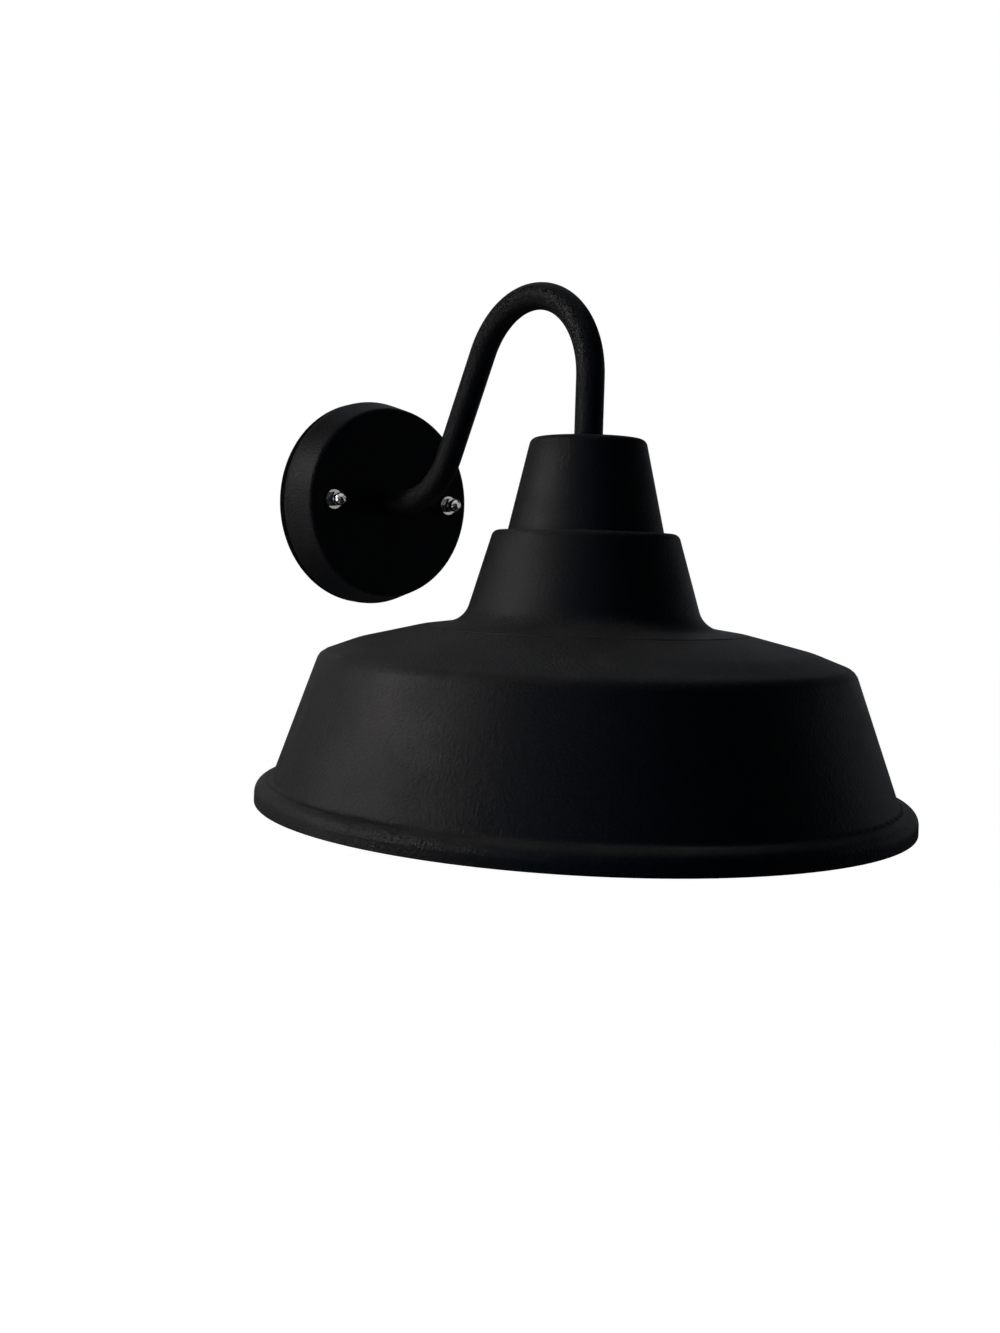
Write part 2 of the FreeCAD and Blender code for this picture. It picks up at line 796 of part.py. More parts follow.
def arm_core(side, pole_x):
    """Wire from the terminal block through the arm to a terminal of the lampholder."""
    x = side * wire_half_pitch
    turn_out = canopy_nipple_end - bush_flange_thickness - wire_turn_gap
    start = pole_run(pole_x) + [at(x, turn_out, 0)]
    bend = len(start)
    fixed = {bend: arm_bend_radius, bend + 1: arm_bend_radius}
    return wire_solid(start + arm_corners(x) + terminal_run(side), fixed)


def wire_live():
    return arm_core(-1, -terminal_pitch)


def wire_neutral():
    return arm_core(1, 0)


def wire_earth():
    """Wire from the ring terminal's barrel up to the third pole."""
    turn = math.radians(ring_turn)
    out = bracket_thickness + crimp_radius
    start = ring_radius + 2 * ring_thickness
    barrel = [at(d * math.cos(turn), out, d * math.sin(turn) - earth_drop)
              for d in (start, earth_wire_reach)]
    block_end = pole_run(terminal_pitch)[::-1]
    middle_out = (out + bracket_thickness + sleeve_stand_off) / 2
    return wire_solid(barrel + [at(earth_wire_side, middle_out, 0)] + block_end)


def cap_line():
    """Outer line of the shade cap, from its centre hole down to its base."""
    return [(nipple_radius + nipple_hole_clearance, cap_top_height, 0),
            (cap_top_radius, cap_top_height, cap_edge_round),
            (cap_base_radius, ledge_height, 0)]


def boss_places():
    return [FreeCAD.Vector(boss_circle * math.cos(a), shade_axis_y + boss_circle * math.sin(a), 0)
            for a in (math.radians(360 * i / boss_count + 90) for i in range(boss_count))]


def shade_cap():
    line = cap_line()
    full = round_shade_piece([(0, ledge_height, 0), (0, cap_top_height, 0)] + line[1:])
    below = [(a + (line[2][0] - line[1][0]) * overrun / cap_height, b - overrun, r) for a, b, r in line[2:]]
    shell = round_shade_piece(sheet_outline(line[:2] + below, cap_wall))
    base = ledge_height + cap_gasket_thickness
    bosses = [rod(boss_radius, boss_height, place + Z * base, Z) for place in boss_places()]
    holes = [rod(boss_screw_radius, screw_reach() + boss_hole_spare, place + Z * (base - overrun), Z)
             for place in boss_places()]
    return shell.fuse(bosses).common(full).cut(holes)


def screw_reach():
    """How far a cap screw goes up past the gasket, with the overrun of its hole."""
    return boss_screw_length - shade_sheet - cap_gasket_thickness + overrun


def cap_gasket():
    inner = boss_circle - boss_radius - cap_gasket_inner_margin
    outer = cap_base_radius - cap_wall - cap_gasket_outer_gap
    flat = ring(outer, inner, cap_gasket_thickness, on_shade_axis(0, 0, ledge_height), Z)
    holes = [rod(boss_screw_radius + boss_hole_clearance, cap_gasket_thickness + 2 * overrun,
                 place + Z * (ledge_height - overrun), Z) for place in boss_places()]
    return flat.cut(holes)


def cap_screws():
    """Screws that go up through the neck's roof into the cap's bosses."""
    upside_down = screw(boss_screw_radius, boss_screw_length, boss_screw_head_radius, boss_screw_head_height)
    upside_down.rotate(ORIGIN, X, 180)
    return [placed(upside_down, place + Z * (ledge_height - shade_sheet)) for place in boss_places()]


def neck_line():
    """Outer line of the shade's neck, from the hole in its roof to its flange's edge."""
    return [(shade_hole_radius, ledge_height, 0),
            (cap_base_radius + ledge_width, ledge_height, neck_edge_round),
            (neck_base_radius, neck_foot_height, neck_fillet),
            (flange_radius, flange_edge_height, 0)]


def shade_neck():
    shell = round_shade_piece(sheet_outline(neck_line(), shade_sheet, shade_sheet * sheet_edge_share))
    holes = [rod(boss_screw_radius + boss_hole_clearance, shade_sheet + 2 * overrun,
                 place + Z * (ledge_height - shade_sheet - overrun), Z) for place in boss_places()]
    return shell.cut(holes)


def seat_height(radius):
    """Height of the flange's underside at a radius, carried on past the flange's edge."""
    (foot, foot_height, _), (edge, edge_height, _) = offset_line(neck_line(), shade_sheet)[-2:]
    return edge_height + (radius - edge) * (edge_height - foot_height) / (edge - foot)


def dish_hole_radius():
    """Radius of the dish's hole, clear of the fillet at the neck's foot."""
    turn = math.atan2(neck_height, neck_spread) - math.atan2(flange_drop, flange_width)
    return neck_base_radius + neck_fillet * math.tan(turn / 2) + dish_hole_margin


def dish_line():
    """Outer line of the shade's dish, from its hole under the flange to the rim's lower edge."""
    hole = dish_hole_radius()
    step_foot = flange_radius + dish_step_gap
    step_top = step_foot + dish_step_width
    step_share = (step_top - flange_radius) / dome_inner_width
    crease = flange_radius + dome_inner_width
    crease_height = flange_edge_height - dome_inner_drop
    shoulder = crease + dome_outer_width
    shoulder_height = crease_height - dome_outer_drop
    skirt_base = shoulder + skirt_spread
    rim_top = shoulder_height - skirt_height
    rim_round = rim_width * rim_round_share
    return [(hole, seat_height(hole), 0), (step_foot, seat_height(step_foot), 0),
            (step_top, flange_edge_height - dome_inner_drop * step_share, 0),
            (crease, crease_height, dome_crease_round),
            (shoulder, shoulder_height, shoulder_round), (skirt_base, rim_top, skirt_fillet),
            (skirt_base + rim_width, rim_top, rim_round),
            (skirt_base + rim_width, rim_top - rim_height, 0)]


def shade_dish():
    return round_shade_piece(sheet_outline(dish_line(), shade_sheet, shade_sheet * sheet_edge_share))


def holder_bracket():
    """Arch of steel strip: its top is clamped on the nipple and its feet carry the holder."""
    foot_end = strap_half_span - strap_foot
    right = [(strap_half_span, cap_underside, strap_round), (strap_half_span, holder_top, strap_round),
             (foot_end, holder_top, 0)]
    left = [(-a, b, r) for a, b, r in right[::-1]]
    outline = sheet_outline(left + right, strap_sheet)
    section = face(outline, shade_section)
    arch = solid_of(section.extrude(Y * strap_width))
    arch.translate(-Y * strap_width / 2)
    hole = nipple_radius + nipple_hole_clearance
    top_hole = on_shade_axis(0, 0, cap_underside - strap_sheet - overrun)
    cutters = [rod(hole, strap_sheet + 2 * overrun, top_hole, Z)]
    for side in (-1, 1):
        place = on_shade_axis(side * strap_screw_offset, 0, holder_top - overrun)
        cutters.append(rod(strap_screw_radius, strap_sheet + 2 * overrun, place, Z))
    return arch.cut(cutters)


def holder_screws():
    fixing = screw(strap_screw_radius, strap_screw_length, strap_screw_head_radius, strap_screw_head_height)
    height = holder_top + strap_sheet
    return [placed(fixing, on_shade_axis(side * strap_screw_offset, 0, height)) for side in (-1, 1)]


def rivet_place(side, height):
    return on_shade_axis(-side * rivet_side_offset, side * rivet_offset, height)


def holder_body():
    """Porcelain cup: a thick top that carries the metal parts and an open socket below."""
    outline = [(0, holder_top, 0), (holder_radius, holder_top, holder_edge_round),
               (holder_radius, holder_bottom, holder_edge_round),
               (cavity_radius, holder_bottom, holder_edge_round),
               (cavity_radius, cavity_roof, 0), (0, cavity_roof, 0)]
    cup = round_shade_piece(outline)
    cutters = []
    for side in (-1, 1):
        screw_hole = strap_screw_length - strap_sheet
        place = on_shade_axis(side * strap_screw_offset, 0, holder_top - screw_hole)
        cutters.append(rod(strap_screw_radius, screw_hole + overrun, place, Z))
        place = on_shade_axis(0, side * terminal_screw_offset, holder_top - terminal_screw_depth)
        cutters.append(rod(terminal_screw_radius, terminal_screw_depth + overrun, place, Z))
        place = rivet_place(side, cavity_roof - overrun)
        cutters.append(rod(rivet_radius, holder_partition + 2 * overrun, place, Z))
    return cup.cut(cutters)


def holder_terminals():
    """Brass plates on the holder's top, one for each wire."""
    plates = []
    half = terminal_plate_width / 2
    plate_start = rivet_offset - terminal_plate_margin
    plate_end = terminal_screw_offset + terminal_plate_margin
    for side in (-1, 1):
        ends = sorted((side * plate_start, side * plate_end))
        outline = rectangle(-half, half, ends[0], ends[1], terminal_plate_sheet)
        flat = placed(plate(outline, terminal_plate_sheet), on_shade_axis(0, 0, holder_top))
        through = terminal_plate_sheet + 2 * overrun
        place = on_shade_axis(0, side * terminal_screw_offset, holder_top - overrun)
        holes = [rod(terminal_screw_radius, through, place, Z)]
        holes.append(rod(rivet_radius, through, rivet_place(side, holder_top - overrun), Z))
        plates.append(flat.cut(holes))
    return plates


def holder_terminal_screws():
    above = terminal_plate_sheet + 2 * wire_radius + terminal_wire_clearance
    fixing = screw(terminal_screw_radius, above + terminal_screw_depth,
                   terminal_screw_head_radius, terminal_screw_head_height)
    places = [on_shade_axis(0, side * terminal_screw_offset, holder_top + above) for side in (-1, 1)]
    return [placed(fixing, place) for place in places]


def holder_rivets():
    """Rivets that join each terminal plate to its contact under the holder's partition."""
    rivets = []
    for side, sheet in ((-1, leaf_sheet), (1, shell_sheet)):
        low = cavity_roof - sheet
        high = holder_top + terminal_plate_sheet
        outline = [(0, low - rivet_head_height, 0), (rivet_head_radius, low - rivet_head_height, 0),
                   (rivet_head_radius, low, 0), (rivet_radius, low, 0), (rivet_radius, high, 0),
                   (rivet_head_radius, high, 0), (rivet_head_radius, high + rivet_head_height, 0),
                   (0, high + rivet_head_height, 0)]
        rivets.append(placed(turned(outline, axis_section, ORIGIN, Z), rivet_place(side, 0)))
    return rivets


def thread_line(crest, top, turns, inwards):
    """Rolled thread as rounded rings, from its top down; inwards for a shell's crests."""
    root = crest + thread_depth * inwards
    line = []
    for i in range(turns):
        line.append((root, top - thread_pitch * i, thread_round))
        line.append((crest, top - thread_pitch * i - thread_pitch / 2, thread_round))
    return line


def holder_screw_shell():
    """Rolled brass shell that the lamp's cap screws into, with a flange under the partition."""
    thread_top = cavity_roof - thread_pitch / 2
    bottom = cavity_roof - shell_length
    inside_top = cavity_roof - shell_sheet
    inner = [(shell_flange_radius, inside_top, 0), (shell_crest_radius, inside_top, 0)]
    inner += thread_line(shell_crest_radius, thread_top, shell_turns, 1)
    inner.append((shell_crest_radius + thread_depth, bottom, 0))
    shell = round_shade_piece(sheet_outline(inner, -shell_sheet))
    half = leaf_width / 2 + notch_clearance
    low = cavity_roof - leaf_sheet - overrun
    notch = Part.makeBox(2 * half, leaf_foot_start + notch_clearance, 2 * overrun,
                         on_shade_axis(-half, -leaf_foot_start - notch_clearance, low))
    hole = rod(rivet_radius, 2 * overrun, rivet_place(1, cavity_roof - overrun), Z)
    return shell.cut([notch, hole])


def holder_centre_contact():
    """Spring leaf, riveted at its foot, that bends down to the lamp's contact button."""
    line = [(-leaf_foot_start, cavity_roof, 0), (-leaf_foot_end, cavity_roof, leaf_round),
            (0, cavity_roof - leaf_drop, leaf_round), (leaf_tip, cavity_roof - leaf_drop + leaf_rise, 0)]
    strip = solid_of(face(sheet_outline(line, leaf_sheet), side_section).extrude(X * leaf_width))
    strip.translate(-X * leaf_width / 2)
    hole = rod(rivet_radius, 2 * overrun, rivet_place(-1, cavity_roof - overrun), Z)
    return strip.cut(hole)


def lamp_contact():
    top = lamp_top
    outline = [(0, top, 0), (button_radius, top, button_height / 2), (button_radius, top - button_height, 0),
               (0, top - button_height, 0)]
    return round_shade_piece(outline)


def lamp_insulator():
    top = lamp_top - button_height
    return round_shade_piece([(0, top, 0), (insulator_top_radius, top, 0),
                              (lamp_cap_radius - thread_depth, lamp_cap_top, 0), (0, lamp_cap_top, 0)])


def lamp_screw_cap():
    """Threaded metal cap with a plain collar below its thread."""
    root = lamp_cap_radius - thread_depth
    line = [(root - lamp_cap_sheet * 2, lamp_cap_top, 0), (root, lamp_cap_top, 0)]
    for i in range(lamp_cap_turns):
        line.append((lamp_cap_radius, lamp_cap_top - thread_pitch * (i + 1 / 2), thread_round))
        line.append((root, lamp_cap_top - thread_pitch * (i + 1), thread_round))
    line.append((root, lamp_cap_bottom, 0))
    return round_shade_piece(sheet_outline(line, lamp_cap_sheet))


def lamp_housing():
    """Hollow moulded cone between the screw cap and the diffuser."""
    inside_cap = lamp_cap_radius - thread_depth - lamp_cap_sheet
    line = [(inside_cap, lamp_cap_bottom + lamp_neck_spigot, 0), (inside_cap, lamp_cap_bottom, 0),
            (lamp_neck_radius, lamp_cap_bottom, 0),
            (lamp_neck_radius, lamp_cap_bottom - lamp_neck_height, lamp_neck_height / 2),
            (lamp_housing_radius, housing_bottom + lamp_housing_rim, lamp_housing_round),
            (lamp_housing_radius, housing_bottom, 0)]
    return round_shade_piece(sheet_outline(line, lamp_housing_wall))


def lamp_led_board():
    """Round board with a ring of light chips, seated on the diffuser's spigot."""
    seat = housing_bottom + diffuser_spigot
    board = rod(board_radius, board_thickness, on_shade_axis(0, 0, seat), Z)
    chips = []
    for i in range(chip_count):
        angle = math.radians(360 * i / chip_count)
        place = on_shade_axis(chip_circle * math.cos(angle) - chip_size / 2,
                              chip_circle * math.sin(angle) - chip_size / 2, seat - chip_height)
        chips.append(Part.makeBox(chip_size, chip_size, chip_height, place))
    return board.fuse(chips)


def lamp_diffuser():
    """Opal globe with a flat ring at the housing and a spigot that goes up into it."""
    rise = math.sqrt(diffuser_radius ** 2 - lamp_housing_radius ** 2)
    centre = on_shade_axis(0, 0, housing_bottom - rise)
    above = Part.makeBox(4 * diffuser_radius, 4 * diffuser_radius, 2 * diffuser_radius,
                         on_shade_axis(-2 * diffuser_radius, -2 * diffuser_radius, housing_bottom))
    globe = Part.makeSphere(diffuser_radius, centre, Z, -90, 90, 360).cut(above)
    spigot_radius = lamp_housing_radius - lamp_housing_wall - diffuser_spigot_gap
    spigot = rod(spigot_radius, diffuser_spigot, on_shade_axis(0, 0, housing_bottom), Z)
    inside = Part.makeSphere(diffuser_radius - diffuser_wall, centre, Z, -90, 90, 360)
    inside = inside.cut(placed(above, -Z * diffuser_wall))
    bore = rod(spigot_radius - diffuser_wall, diffuser_spigot + diffuser_wall + 2 * overrun,
               on_shade_axis(0, 0, housing_bottom - diffuser_wall - overrun), Z)
    return globe.fuse(spigot).cut([inside, bore])


NODES = {
    "wall_gasket": wall_gasket,
    "canopy": canopy,
    "mounting_bracket": mounting_bracket,
    "bracket_studs": bracket_studs,
    "stud_seals": stud_seals,
    "cap_washer_left": lambda: cap_washer(-1),
    "cap_washer_right": lambda: cap_washer(1),
    "cap_nut_left": lambda: cap_nut(-1),
    "cap_nut_right": lambda: cap_nut(1),
    "gooseneck_arm": gooseneck_arm,
    "arm_seals": arm_seals,
    "arm_nipples": arm_nipples,
    "nipple_washers": nipple_washers,
    "nipple_nuts": nipple_nuts,
    "wire_bushes": wire_bushes,
    "terminal_block": terminal_block,
    "terminal_sleeves": terminal_sleeves,
    "terminal_clamp_screws": terminal_clamp_screws,
    "terminal_block_screws": terminal_block_screws,
    "earth_ring_terminal": earth_ring_terminal,
    "earth_cup_washer": earth_cup_washer,
    "earth_screw": earth_screw,
    "wire_live": wire_live,
    "wire_neutral": wire_neutral,
    "wire_earth": wire_earth,
    "shade_cap": shade_cap,
    "cap_gasket": cap_gasket,
    "cap_screws": cap_screws,
    "shade_neck": shade_neck,
    "shade_dish": shade_dish,
    "holder_bracket": holder_bracket,
    "holder_screws": holder_screws,
    "holder_body": holder_body,
    "holder_terminals": holder_terminals,
    "holder_terminal_screws": holder_terminal_screws,
    "holder_rivets": holder_rivets,
    "holder_screw_shell": holder_screw_shell,
    "holder_centre_contact": holder_centre_contact,
    "lamp_contact": lamp_contact,
    "lamp_insulator": lamp_insulator,
    "lamp_screw_cap": lamp_screw_cap,
    "lamp_housing": lamp_housing,
    "lamp_led_board": lamp_led_board,
    "lamp_diffuser": lamp_diffuser,
}


def save_all():
    """Write each node's solids to its own file."""
    os.makedirs("parts", exist_ok=True)
    for node, build in NODES.items():
        made = build()
        solids = made if isinstance(made, list) else [made]
        pieces = [solid for shape in solids for solid in shape.Solids]
        valid = all(piece.isValid() and piece.Volume > 0 for piece in pieces)
        shape = pieces[0] if len(pieces) == 1 else Part.makeCompound(pieces)
        shape.exportStep(f"parts/{node}.step")
        volume = sum(piece.Volume for piece in pieces)
        print(f"{node:24s} solids {len(pieces)} valid {valid} volume {volume:.1f}")


save_all()
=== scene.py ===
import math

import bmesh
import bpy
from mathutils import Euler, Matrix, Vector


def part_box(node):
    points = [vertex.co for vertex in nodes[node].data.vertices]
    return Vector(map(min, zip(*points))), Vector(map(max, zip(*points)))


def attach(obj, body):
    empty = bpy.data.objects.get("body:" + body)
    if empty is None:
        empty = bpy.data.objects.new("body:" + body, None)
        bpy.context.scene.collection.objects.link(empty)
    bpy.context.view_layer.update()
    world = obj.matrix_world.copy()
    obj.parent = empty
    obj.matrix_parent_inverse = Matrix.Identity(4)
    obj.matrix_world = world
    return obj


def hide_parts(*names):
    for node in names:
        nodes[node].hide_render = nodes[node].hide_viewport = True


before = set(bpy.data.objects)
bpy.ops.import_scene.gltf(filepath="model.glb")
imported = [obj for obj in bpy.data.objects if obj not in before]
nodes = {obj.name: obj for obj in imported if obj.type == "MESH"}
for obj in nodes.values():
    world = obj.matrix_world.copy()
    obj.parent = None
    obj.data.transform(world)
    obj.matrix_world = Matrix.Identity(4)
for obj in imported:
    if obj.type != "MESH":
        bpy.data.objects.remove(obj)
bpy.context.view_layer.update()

# %% [markdown]
# An outdoor wall lamp: a round canopy on the wall, a gooseneck arm and a wide stepped
# shade. The frame already holds every pressed, turned and bent piece at its real size, so
# the work here is mostly finish: a fine-textured black coat, bright nuts, and the plainer
# metals, porcelain and plastics inside. Only the two studs and the lamp's cap are made
# again, because the frame has them without the helix of their screw threads.

MM = 0.001


def middle(*names):
    """Middle of the box round some nodes."""
    corners = [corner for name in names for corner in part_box(name)]
    low = Vector(min(c[i] for c in corners) for i in range(3))
    high = Vector(max(c[i] for c in corners) for i in range(3))
    return (low + high) / 2


shade_middle = middle("shade_neck", "shade_dish")
shade_axis = (0, shade_middle.y, 0)
print("the shade's axis stands", round(-shade_middle.y / MM, 1), "mm off the wall")

# %% [markdown]
# The camera. A view can be matched by eye, by moving it until the outlines fall together,
# or worked out from known round edges in the picture. The second is exact: the ellipses of
# the shade's rim and the canopy give the direction, the distance and the lens. The lens
# is long, and the picture was cropped off its centre, which is what shift is for.

# %% Camera
# Pixels of the picture, then angles, then the camera's place in metres.
picture_width = 1000
picture_height = 1333
focal_length = 1400
optical_centre = (406.63, 576.46)
view_bearing = math.radians(-35.25)
view_pitch = math.radians(-0.69)
view_roll = math.radians(1.75)
view_place = Vector((-0.46533, -0.70289, -0.03319))

lens = bpy.data.cameras.new("photo_camera")
lens.lens = focal_length * lens.sensor_width / picture_height
lens.shift_x = (picture_width / 2 - optical_centre[0]) / picture_height
lens.shift_y = (optical_centre[1] - picture_height / 2) / picture_height
camera = bpy.data.objects.new("photo_camera", lens)
upright = math.radians(90)
view_turn = (Matrix.Rotation(view_bearing, 4, "Z") @ Matrix.Rotation(upright + view_pitch, 4, "X")
             @ Matrix.Rotation(view_roll, 4, "Z"))
camera.matrix_world = Matrix.Translation(view_place) @ view_turn
bpy.context.scene.collection.objects.link(camera)
bpy.context.scene.camera = camera
print("lens", round(lens.lens, 2), "mm, from the shade", round((view_place - shade_middle).length, 3), "m")

# %% [markdown]
# Helpers for materials. A material is a small graph of nodes. Written out link by link it
# is long, so a few helpers carry the load: one adds a node with its settings, its numbers
# and its links at once, and the others are the sums, steps, mixes and patterns that come
# up again and again. The rest of the file then reads like a recipe. The Mix node keeps a
# set of sockets for each kind of value, and only their place tells them apart, so those
# places are named once, here.

# %% Node helpers
mix_places = {"FLOAT": (2, 3, 0), "VECTOR": (4, 5, 1), "RGBA": (6, 7, 2)}


def add(tree, kind, inputs=None, **settings):
    """A new node; a value in inputs is a number to set or a socket to link from."""
    made = tree.nodes.new(kind)
    for name, value in settings.items():
        setattr(made, name, value)
    for name, value in (inputs or {}).items():
        if isinstance(value, bpy.types.NodeSocket):
            tree.links.new(value, made.inputs[name])
        else:
            made.inputs[name].default_value = value
    return made


def sum_of(tree, operation, *terms, clamp=False):
    """Output of a Math node."""
    made = add(tree, "ShaderNodeMath", dict(enumerate(terms)), operation=operation, use_clamp=clamp)
    return made.outputs[0]


def part_of(tree, vector, axis):
    """One of a vector's three numbers."""
    return add(tree, "ShaderNodeSeparateXYZ", {0: vector}).outputs[axis]


def ramp(tree, value, low, high, to_low=0.0, to_high=1.0):
    """Smooth step of a value from one level to another."""
    limits = {"Value": value, "From Min": low, "From Max": high, "To Min": to_low, "To Max": to_high}
    return add(tree, "ShaderNodeMapRange", limits, interpolation_type="SMOOTHSTEP").outputs["Result"]


def mix(tree, kind, share, first, second):
    """Between two numbers, vectors or colours."""
    first_place, second_place, result = mix_places[kind]
    values = {0: share, first_place: first, second_place: second}
    return add(tree, "ShaderNodeMix", values, data_type=kind).outputs[result]


def blend(tree, share, first, second):
    """Colour between two colours, which may be written as three numbers."""
    colours = [value if isinstance(value, bpy.types.NodeSocket) else (*value, 1) for value in (first, second)]
    return mix(tree, "RGBA", share, *colours)


def noise(tree, place, scale, detail=1.0, roughness=0.5):
    """Cloudy pattern; a higher scale is finer."""
    inputs = {"Vector": place, "Scale": scale, "Detail": detail, "Roughness": roughness}
    return add(tree, "ShaderNodeTexNoise", inputs).outputs["Fac"]


def new_group(name, numbers, outputs):
    """Node group with a vector and numbers as inputs and numbers as outputs."""
    group = bpy.data.node_groups.new(name, "ShaderNodeTree")
    group.interface.new_socket("Vector", in_out="INPUT", socket_type="NodeSocketVector")
    for label, value in numbers.items():
        socket = group.interface.new_socket(label, in_out="INPUT", socket_type="NodeSocketFloat")
        socket.default_value = value
    for label in outputs:
        group.interface.new_socket(label, in_out="OUTPUT", socket_type="NodeSocketFloat")
    return group, group.nodes.new("NodeGroupInput").outputs, group.nodes.new("NodeGroupOutput")


def use(tree, group, **inputs):
    """A group placed in a material; returns its outputs."""
    return add(tree, "ShaderNodeGroup", inputs, node_tree=group).outputs


print("kinds of mix", list(mix_places))

# %% [markdown]
# Effects that several finishes share are node groups, each built once. Each reads the
# place in the object, so a pattern stays put when a piece moves with its joint:
# grain, the pimpled skin of a textured coat, from two sizes of noise;
# mottle, slow changes of tone and gloss that no real surface is without;
# dust and top light, a paler tone where a surface faces up, which is dust, and on the
# shade also painted light from above;
# turning, the fine rings a lathe or a spinning tool leaves about an axis;
# scratches, short hair lines from handling, where stretched noise crosses a level.
# A noise seldom leaves the middle of its range, so each pair of levels below says where
# an effect starts and where it is full.

# %% Shared effects
pimple_levels = (0.42, 0.7)
pimple_share = 0.75
fine_share = 0.45
speck_levels = (0.58, 0.74)
mottle_levels = (0.3, 0.7)
dust_and_top_light_slope = (0.45, 1.0)
dust_and_light_patch_scale = 55.0
dust_and_light_patch_levels = (0.3, 0.75)
thinnest_dust_and_light = 0.45
scratch_levels = (0.66, 0.7)
scratch_ways = ((0.4, (1.0, 30.0, 6.0)), (1.9, (28.0, 1.0, 9.0)))


def grain_group():
    group, given, gives = new_group("grain", {"Coarse": 700.0, "Fine": 2200.0}, ["Height", "Speck"])
    coarse = noise(group, given["Vector"], given["Coarse"])
    fine = noise(group, given["Vector"], given["Fine"])
    pimples = sum_of(group, "MULTIPLY", ramp(group, coarse, *pimple_levels), pimple_share)
    height = sum_of(group, "ADD", pimples, sum_of(group, "MULTIPLY", fine, fine_share))
    group.links.new(height, gives.inputs["Height"])
    group.links.new(ramp(group, fine, *speck_levels), gives.inputs["Speck"])
    return group


def mottle_group():
    group, given, gives = new_group("mottle", {"Scale": 18.0}, ["Value"])
    clouds = noise(group, given["Vector"], given["Scale"], detail=5.0, roughness=0.6)
    group.links.new(ramp(group, clouds, *mottle_levels), gives.inputs["Value"])
    return group


# Paler tone on up-facing surfaces: real dust, and on the shade also painted light from above.
def dust_and_top_light_group():
    group, given, gives = new_group("dust_and_top_light", {"Amount": 0.3}, ["Mask"])
    slope = part_of(group, add(group, "ShaderNodeNewGeometry").outputs["Normal"], "Z")
    clouds = noise(group, given["Vector"], dust_and_light_patch_scale, detail=5.0, roughness=0.65)
    patches = ramp(group, clouds, *dust_and_light_patch_levels, thinnest_dust_and_light, 1.0)
    layer = sum_of(group, "MULTIPLY", ramp(group, slope, *dust_and_top_light_slope), patches)
    group.links.new(sum_of(group, "MULTIPLY", layer, given["Amount"]), gives.inputs["Mask"])
    return group


def turning_group():
    """Rings about the local Z axis; each ring is a step of radius and of height."""
    group, given, gives = new_group("turning", {"Lines": 4000.0}, ["Height"])
    parts = add(group, "ShaderNodeSeparateXYZ", {0: given["Vector"]}).outputs
    flat = add(group, "ShaderNodeCombineXYZ", {"X": parts["X"], "Y": parts["Y"]}).outputs[0]
    radius = add(group, "ShaderNodeVectorMath", {0: flat}, operation="LENGTH").outputs["Value"]
    along = sum_of(group, "ADD", radius, parts["Z"])
    lines = add(group, "ShaderNodeTexNoise", {"W": along, "Scale": given["Lines"], "Detail": 3.0},
                noise_dimensions="1D").outputs["Fac"]
    group.links.new(lines, gives.inputs["Height"])
    return group


def scratch_group():
    """Two layers of hair lines, each a noise that is turned and stretched its own way."""
    group, given, gives = new_group("scratches", {"Scale": 60.0}, ["Mask"])
    layers = []
    for turn, stretch in scratch_ways:
        way = {"Vector": given["Vector"], "Rotation": (turn, turn, turn), "Scale": stretch}
        stretched = add(group, "ShaderNodeMapping", way).outputs[0]
        layers.append(ramp(group, noise(group, stretched, given["Scale"], detail=2.0), *scratch_levels))
    group.links.new(sum_of(group, "MAXIMUM", *layers), gives.inputs["Mask"])
    return group


grain = grain_group()
mottle = mottle_group()
dust_and_top_light = dust_and_top_light_group()
turning = turning_group()
scratches = scratch_group()
print("groups", [group.name for group in bpy.data.node_groups])

# %% [markdown]
# Every finish starts the same way: a material, its Principled shader and the place in the
# object. Numbers that are the same all over a surface go straight on the shader. A Bump
# node turns a height pattern into a tilt of the surface; its distance is the real depth
# of the pattern, from a few thousandths of a millimetre on plated steel to a fifth of a
# millimetre on the coat.

# %% A material and its bump


def new_material(name, **numbers):
    """A material; returns it with its node tree, its shader and the place in the object."""
    material = bpy.data.materials.new(name)
    material.use_nodes = True
    tree = material.node_tree
    shader = tree.nodes["Principled BSDF"]
    for label, value in numbers.items():
        shader.inputs[label.replace("_", " ")].default_value = value
    place = add(tree, "ShaderNodeTexCoord").outputs["Object"]
    return material, tree, shader, place


def connect(tree, shader, **outputs):
    """Link patterns to the shader's sockets by name."""
    for label, value in outputs.items():
        tree.links.new(value, shader.inputs[label.replace("_", " ")])


def bump(tree, height, depth, strength):
    """Normal from a height pattern with a real depth."""
    return add(tree, "ShaderNodeBump", {"Height": height, "Distance": depth, "Strength": strength}).outputs[0]


def about(tree, place, centre, turn=(0.0, 0.0, 0.0)):
    """The place measured from a centre, turned so that a pattern's axis is Z."""
    turned_centre = Euler(turn).to_matrix() @ Vector(centre)
    moved = {"Vector": place, "Location": -turned_centre, "Rotation": turn}
    return add(tree, "ShaderNodeMapping", moved).outputs[0]


print("nodes of the frame to finish", len(nodes))

# %% [markdown]
# The black coat. It is a polyester powder, sprayed on dry and baked, with a fine sandy
# texture that hides fingermarks. Up close it is a field of low pimples under a half-matt
# skin. Painting the pimples as colour would look flat, so they are a bump, and only the
# tips get a trace of extra tone where they are rubbed. Up-facing surfaces turn paler,
# part dust and part painted light from above, and the same mask dulls the gloss.

# %% Black coat
black = (0.0036, 0.0040, 0.0050)
rubbed_black = (0.026, 0.024, 0.024)
rubbed_share = 0.55
# Pale tone of dust, also used as painted light from above on the shade's up-facing surfaces.
dust_and_top_light_tone = (0.17, 0.165, 0.155)
dust_dulls = 0.6
arm_dust = 0.03
coat_gloss = (0.52, 0.6)
coat_specular = 0.3
coat_depth = 0.18 * MM
coat_bump = 0.8


